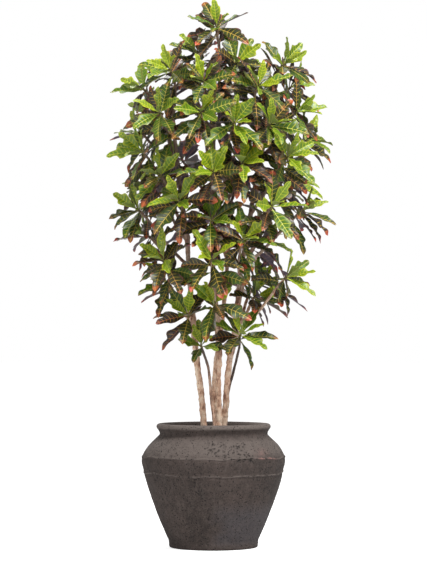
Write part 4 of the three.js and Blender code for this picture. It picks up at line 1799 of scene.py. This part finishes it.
@dataclass
class Pot:
    """The stoneware pot: a thrown body with two wavy raised ridges, small pits and a rolled rim."""

    material: bpy.types.Material
    segments: int = 360
    spacing: float = 4.6
    fine_spacing: float = 1.8
    ridge_heights: tuple[float, float] = (348.0, 284.0)
    ridge_proud: tuple[float, float] = (2.0, 2.1)
    pit_depth: float = 2.2
    dense_points: int = 600
    dense_spacing: float = 0.5

    FAINT_AT = (186, 238)
    RIDGE_WAVES = ((2, 2.0), (3, 1.6), (5, 1.7), (8, 1.5), (13, 1.5), (19, 0.7), (31, 0.4))
    ROUGH_FOLDS = (11, 19, 31, 47, 73)
    UNEVEN = (
        (2, 0.006, 0.9), (3, 0.013, 0.7), (5, 0.03, 0.45), (9, 0.05, 0.3), (17, 0.11, 0.22),
        (29, 0.19, 0.16),
    )
    SCUFFED_RIDGE = (math.radians(318), 0.17)
    SCUFFED_WALL = (math.radians(314), 0.12)
    SCUFF_HEIGHT = (368, 16)
    UPPER_RIDGE_ABOVE = 320
    OUTSIDE = (
        (166, 0), (170, 3), (171.5, 14), (174, 30), (178, 38), (191, 68), (214.5, 125), (236, 183),
        (252, 229), (262, 264), (266, 280), (270, 299), (274, 316), (276, 330), (275, 346),
        (269.5, 359), (259, 377), (247.5, 392), (231.5, 408), (214, 424.5), (208.5, 430), (207, 435),
        (208.5, 441), (213, 449), (218, 456), (219.5, 462), (217.5, 468), (212, 472), (205, 472.5),
        (197, 469),
    )
    INSIDE = (
        (191, 458), (189, 437), (213, 398), (251, 362), (258, 335), (247, 264), (205, 144), (163, 24),
    )
    PIT_ZONES = (
        PitZone((0, 360), (355, 420), (2.2, 3.8), 84),
        PitZone((0, 360), (45, 345), (2.2, 4.6), 110),
        PitZone((262, 300), (354, 408), (2.4, 4.8), 60),
        PitZone((284, 303), (338, 350), (2.4, 4.6), 30),
        PitZone((70, 118), (354, 408), (2.4, 4.8), 50),
        PitZone((20, 46), (270, 286), (2.2, 4.2), 20),
    )

    def build(self) -> bpy.types.Object:
        """Makes the pot and hides the plain solid that it stands for.

        Returns:
            The piece.
        """
        outside = self._rows()
        profile = np.vstack([outside, self.INSIDE])
        angle = round_angles(self.segments)
        radius = np.repeat(profile[:, :1], self.segments, axis=1)
        height = np.repeat(profile[:, 1:], self.segments, axis=1)
        shown = np.zeros_like(radius)
        shown[: len(outside)] = smooth_step(outside[:, 1], 1, 20)[:, None]
        ridge = self._raise_ridges(radius, height, angle, shown)
        self._wobble(radius, height, angle, shown)
        pits = self._press_pits(radius, height, angle, len(outside))
        scuff = 1.3 * hump(angle, *self.SCUFFED_RIDGE) * ridge * (height > self.UPPER_RIDGE_ABOVE)
        scuff += 0.25 * hump(angle, *self.SCUFFED_WALL) * hump(height, *self.SCUFF_HEIGHT)
        # Stored for the material: the pits, the ridge crests, which it lightens as a painted highlight, and
        # the scuff.
        wear = np.stack([pits, ridge, np.clip(scuff, 0, 1)], axis=-1).reshape(-1, 3)
        parts = MeshParts([self.material])
        faces = closed_faces(len(profile), self.segments)
        parts.add(turned(radius, height, angle), *faces, wear=np.vstack([wear, np.zeros((2, 3))]))
        return finish_piece(parts.build("pot_fine"), "pot")

    def _rows(self) -> np.ndarray:
        """The outside's profile, with its points closer together round the two ridges.

        Returns:
            The radius and height of each point, one point a row.
        """
        dense = evenly(through(np.array(self.OUTSIDE, float), self.dense_points), self.dense_spacing)
        upper, lower = self.ridge_heights
        level = dense[:, 1]
        near = smooth_step(level, lower - 22, lower - 12) * smooth_step(level, upper + 24, upper + 14)
        crowding = 1 / self.spacing + (1 / self.fine_spacing - 1 / self.spacing) * near
        places = np.cumsum(crowding) * self.dense_spacing
        wanted = np.linspace(places[0], places[-1], round(places[-1]))
        return interpolate(wanted, places, dense)

    def _raise_ridges(
        self, radius: np.ndarray, height: np.ndarray, angle: np.ndarray, shown: np.ndarray
    ) -> np.ndarray:
        """Raises the two ridges along wavy lines.

        Args:
            radius: The points' radii, which it changes.
            height: The points' heights.
            angle: The angle of each point of a ring.
            shown: How much of the relief each point takes.

        Returns:
            How much each point lies on a ridge's crest, which the material lightens as a painted highlight.
        """
        total = np.zeros_like(radius)
        for number, (middle, proud) in enumerate(zip(self.ridge_heights, self.ridge_proud)):
            draws = Draws(Seed.RIDGES + number)
            line = np.full(self.segments, middle)
            for fold, high in self.RIDGE_WAVES:
                line += high * draws.between(0.6, 1.2) * np.sin(fold * angle + draws.phase())
            rough = np.zeros_like(angle)
            for fold in self.ROUGH_FOLDS:
                rough += 0.14 * np.sin(fold * angle + draws.phase())
            rough -= 0.6 * hump(angle, math.radians(self.FAINT_AT[number]), 0.5)
            below = line - height
            bead = np.where(below < 0, hump(below, 0, 5.0), smooth_step(below, 3.2, 0.2))
            groove = 0.5 * hump(below, -11, 4) + 0.7 * hump(below, 6.5, 3)
            radius += (bead * proud * (1 + rough) - groove) * shown
            # The crest's share, just above the line, lightened in the material as a painted highlight.
            total += hump(below, -1.2, 2.6) * np.clip(1 + rough, 0, 1) * shown
        return np.clip(total, 0, 1)

    def _wobble(
        self, radius: np.ndarray, height: np.ndarray, angle: np.ndarray, shown: np.ndarray
    ) -> None:
        """Makes the wall slightly uneven, as a thrown and scraped pot is.

        Args:
            radius: The points' radii, which it changes.
            height: The points' heights.
            angle: The angle of each point of a ring.
            shown: How much of the relief each point takes.
        """
        draws = Draws(Seed.WALL)
        for fold, per_mm, depth in self.UNEVEN:
            wave = np.sin(fold * angle + draws.phase() + height * per_mm)
            radius += depth * wave * np.sin(height * per_mm * 1.7 + draws.phase()) * shown

    def _press_pits(
        self, radius: np.ndarray, height: np.ndarray, angle: np.ndarray, rows: int
    ) -> np.ndarray:
        """Presses small pits into the wall, zone by zone.

        Args:
            radius: The points' radii, which it changes.
            height: The points' heights.
            angle: The angle of each point of a ring.
            rows: How many rings the outside has.

        Returns:
            How far each point lies in a pit.
        """
        pits = np.zeros_like(radius)
        draws = Draws(Seed.PITS)
        level = height[:rows, 0]
        for zone in self.PIT_ZONES:
            for _ in range(zone.count):
                turn = math.radians(draws.between(*zone.turn))
                middle = draws.between(*zone.height)
                size = between(zone.size, draws.next() ** 2)
                near = np.flatnonzero((np.abs(level - middle) < 3 * size) & (np.arange(rows) > 3))
                aside = angles_from(angle, turn) * radius[near][:, :1]
                dent = hump(aside, 0, size) * hump(height[near], middle, size * 0.8)
                pits[near] = np.maximum(pits[near], dent)
        radius -= pits * self.pit_depth
        return smooth_step(pits, 0.25, 0.8)


@dataclass
class Soil:
    """The potting soil: an uneven surface with crumbs, on the body that fills the pot."""

    material: bpy.types.Material
    segments: int = 144
    edge_radius: float = 188.5
    top: float = 452.0
    edge_height: float = 445.0
    middle_radius: float = 5.0
    rings: int = 38
    crumbs: int = 260

    LUMPS = ((0.035, 1.6), (0.08, 1.0), (0.16, 0.8), (0.33, 0.7), (0.61, 0.5))

    def build(self) -> bpy.types.Object:
        """Makes the soil and hides the plain solid that it stands for.

        Returns:
            The piece.
        """
        angle = round_angles(self.segments)
        rings = np.linspace(self.middle_radius, self.edge_radius, self.rings)[::-1]
        inside = [(radius - 0.5, height) for radius, height in Pot.INSIDE[1:]][::-1]
        inside[0] = (inside[0][0], inside[0][1] + 0.4)
        side = [np.column_stack([np.full(self.segments, r), np.full(self.segments, z)]) for r, z in inside]
        surface = [np.column_stack([np.full(self.segments, r), self._level(r, angle)]) for r in rings]
        profile = np.array([*side, *surface])
        parts = MeshParts([self.material])
        points = turned(profile[..., 0], profile[..., 1], angle)
        parts.add(points, *closed_faces(len(profile), self.segments))
        self._add_crumbs(parts)
        return finish_piece(parts.build("soil_fine"), "soil")

    def _level(self, radius: float, angle: np.ndarray) -> np.ndarray:
        """The soil's height at a radius, with lumps.

        Args:
            radius: The radius.
            angle: The angles of the places.

        Returns:
            The height at each angle.
        """
        x, y = radius * np.cos(angle), radius * np.sin(angle)
        base = self.top + (self.edge_height - self.top) * (radius / self.edge_radius) ** 2
        lumps = np.zeros_like(x)
        draws = Draws(Seed.SOIL)
        for scale, depth in self.LUMPS:
            turn = draws.phase()
            u = x * math.cos(turn) + y * math.sin(turn)
            v = y * math.cos(turn) - x * math.sin(turn)
            waves = np.sin(u * scale + draws.next() * 6) * np.sin(v * scale * 1.2 + draws.next() * 6)
            lumps += depth * waves
        return base + lumps * min(1.0, (self.edge_radius + 4 - radius) / 12) - 1.0

    def _add_crumbs(self, parts: MeshParts) -> None:
        """Adds loose crumbs, half sunk in the surface.

        Args:
            parts: The mesh to add to.
        """
        rings, sides = 5, 6
        down = np.linspace(0.25, math.pi - 0.25, rings)[::-1, None] * np.ones(sides)
        ball = turned(np.sin(down), np.cos(down), round_angles(sides))
        draws = Draws(Seed.CRUMBS)
        for _ in range(self.crumbs):
            radius = (self.edge_radius - 8) * math.sqrt(draws.next())
            angle = draws.between(0, FULL_TURN)
            size = 1.6 + 4.2 * draws.next() ** 2
            lumpy = 1 + 0.45 * (draws.many(len(ball)) - 0.5)
            squash = np.array([draws.between(0.8, 1.5), draws.between(0.7, 1.2), draws.between(0.5, 0.9)])
            level = self._level(radius, np.array([angle]))[0]
            middle = [radius * math.cos(angle), radius * math.sin(angle), level + 0.25 * size]
            points = ball * lumpy[:, None] * squash * size + middle
            parts.add(points, *closed_faces(rings, sides))


# The studio


@dataclass
class Studio:
    """A pale floor under soft light, with the camera where the photograph was taken."""

    distance: float = 8.4
    eye_height: float = 0.8
    aim_height: float = 1.005
    lens: float = 137.8
    sensor: float = 36.0
    seen_up_to: float = 200.0
    floor_size: float = 60.0
    surround: float = 0.5

    LIT_AT = (0, 0, 1.1)
    LIGHTS = (
        ("key", (2.2, -2.8, 5.4), 400.0, 1.4),
        ("fill", (-3.0, -4.6, 1.8), 70.0, 2.4),
        ("back", (-1.0, 3.2, 4.6), 90.0, 2.0),
    )

    def build(self) -> None:
        """Makes the floor, the lights and the camera."""
        scene = bpy.context.scene
        scene.view_settings.view_transform = "Standard"
        self._camera(scene)
        self._floor()
        self._lights(scene)

    def _camera(self, scene: bpy.types.Scene) -> None:
        """Adds a camera in front, a little below the middle of the tree, that looks at it.

        Args:
            scene: The scene that it is the camera of.
        """
        data = bpy.data.cameras.new("camera")
        data.lens = self.lens
        data.sensor_width = self.sensor
        data.clip_end = self.seen_up_to
        camera = add_object("camera", data)
        camera.location = (0.0, -self.distance, self.eye_height)
        upward = math.atan((self.aim_height - self.eye_height) / self.distance)
        camera.rotation_euler = (math.pi / 2 + upward, 0, 0)
        scene.camera = camera

    def _floor(self) -> None:
        """Adds a wide pale floor."""
        size = self.floor_size
        mesh = bpy.data.meshes.new("floor")
        corners = [(-size, -size, 0), (size, -size, 0), (size, size, 0), (-size, size, 0)]
        mesh.from_pydata(corners, [], [(0, 1, 2, 3)])
        s = Shader("floor")
        colour = s.mix(s.noise(s.place(), 3.0), (0.76, 0.76, 0.76), (0.8, 0.8, 0.8))
        seen = s.node("LightPath", None, None, "Is Camera Ray")
        glow = s.mix(seen, (0.0, 0.0, 0.0), (0.68, 0.68, 0.68))
        fixed = {"Emission Color": glow, "Emission Strength": 1.0}
        mesh.materials.append(s.finish(colour, 0.9, s.noise(s.place(), 90.0), 0.0002, fixed))
        add_object("floor", mesh)

    def _lights(self, scene: bpy.types.Scene) -> None:
        """Adds a white surround and three soft lights, the key one from high up on the front right.

        Args:
            scene: The scene to light.
        """
        world = bpy.data.worlds.new("surround")
        world.use_nodes = True
        tree = world.node_tree
        background = tree.nodes["Background"]
        background.inputs["Color"].default_value = (1.0, 1.0, 1.0, 1.0)
        path = tree.nodes.new("ShaderNodeLightPath")
        seen = tree.nodes.new("ShaderNodeMapRange")
        seen.inputs["To Min"].default_value = self.surround
        tree.links.new(path.outputs["Is Camera Ray"], seen.inputs["Value"])
        tree.links.new(seen.outputs["Result"], background.inputs["Strength"])
        scene.world = world
        for name, place, power, size in self.LIGHTS:
            data = bpy.data.lights.new(name, "AREA")
            data.energy = power
            data.size = size
            light = add_object(name, data)
            light.location = place
            aim = np.array(self.LIT_AT) - np.array(place)
            light.rotation_mode = "QUATERNION"
            light.rotation_quaternion = Vector(aim).to_track_quat("-Z", "Y")


def build_croton() -> None:
    """Builds the pot, the soil, the wood and the leafy shoots."""
    Pot(STONEWARE.material()).build()
    Soil(SOIL.material()).build()
    wood = Wood()
    bark = OLD_BARK.material()
    for number, (name, trunk) in enumerate(TRUNKS.items()):
        branches = [wood.routes[crown.number] for crown in CROWNS if crown.trunk == name]
        WoodPiece(f"wood_{name}", trunk, branches, bark, "bark", Seed.WOOD + number).build()
    for number, (name, finish) in enumerate((("sucker", YOUNG_BARK), ("side", SIDE_BARK))):
        stem, seed = THIN_STEMS[name], Seed.THIN_STEMS + number
        WoodPiece(f"{name}_stem", stem, [], finish.material(), "young_bark", seed, sides=12).build()
    foliage = Foliage(wood)
    LOG.info("%d leaves", len(foliage.leaves))
    materials = [finish.material() for finish in (*LEAF_FINISHES, SHOOT_BARK)]
    blade = LeafBlade()
    for crown in ALL_CROWNS:
        leaves = [leaf for leaf in foliage.leaves if leaf.crown == crown.number]
        LeafyShoot(crown, leaves, blade, materials).build()


def main() -> None:
    """Builds the potted croton and its studio."""
    logging.basicConfig(level=logging.INFO, format="%(message)s")
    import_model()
    Studio().build()
    build_croton()


if __name__ == "__main__":
    main()
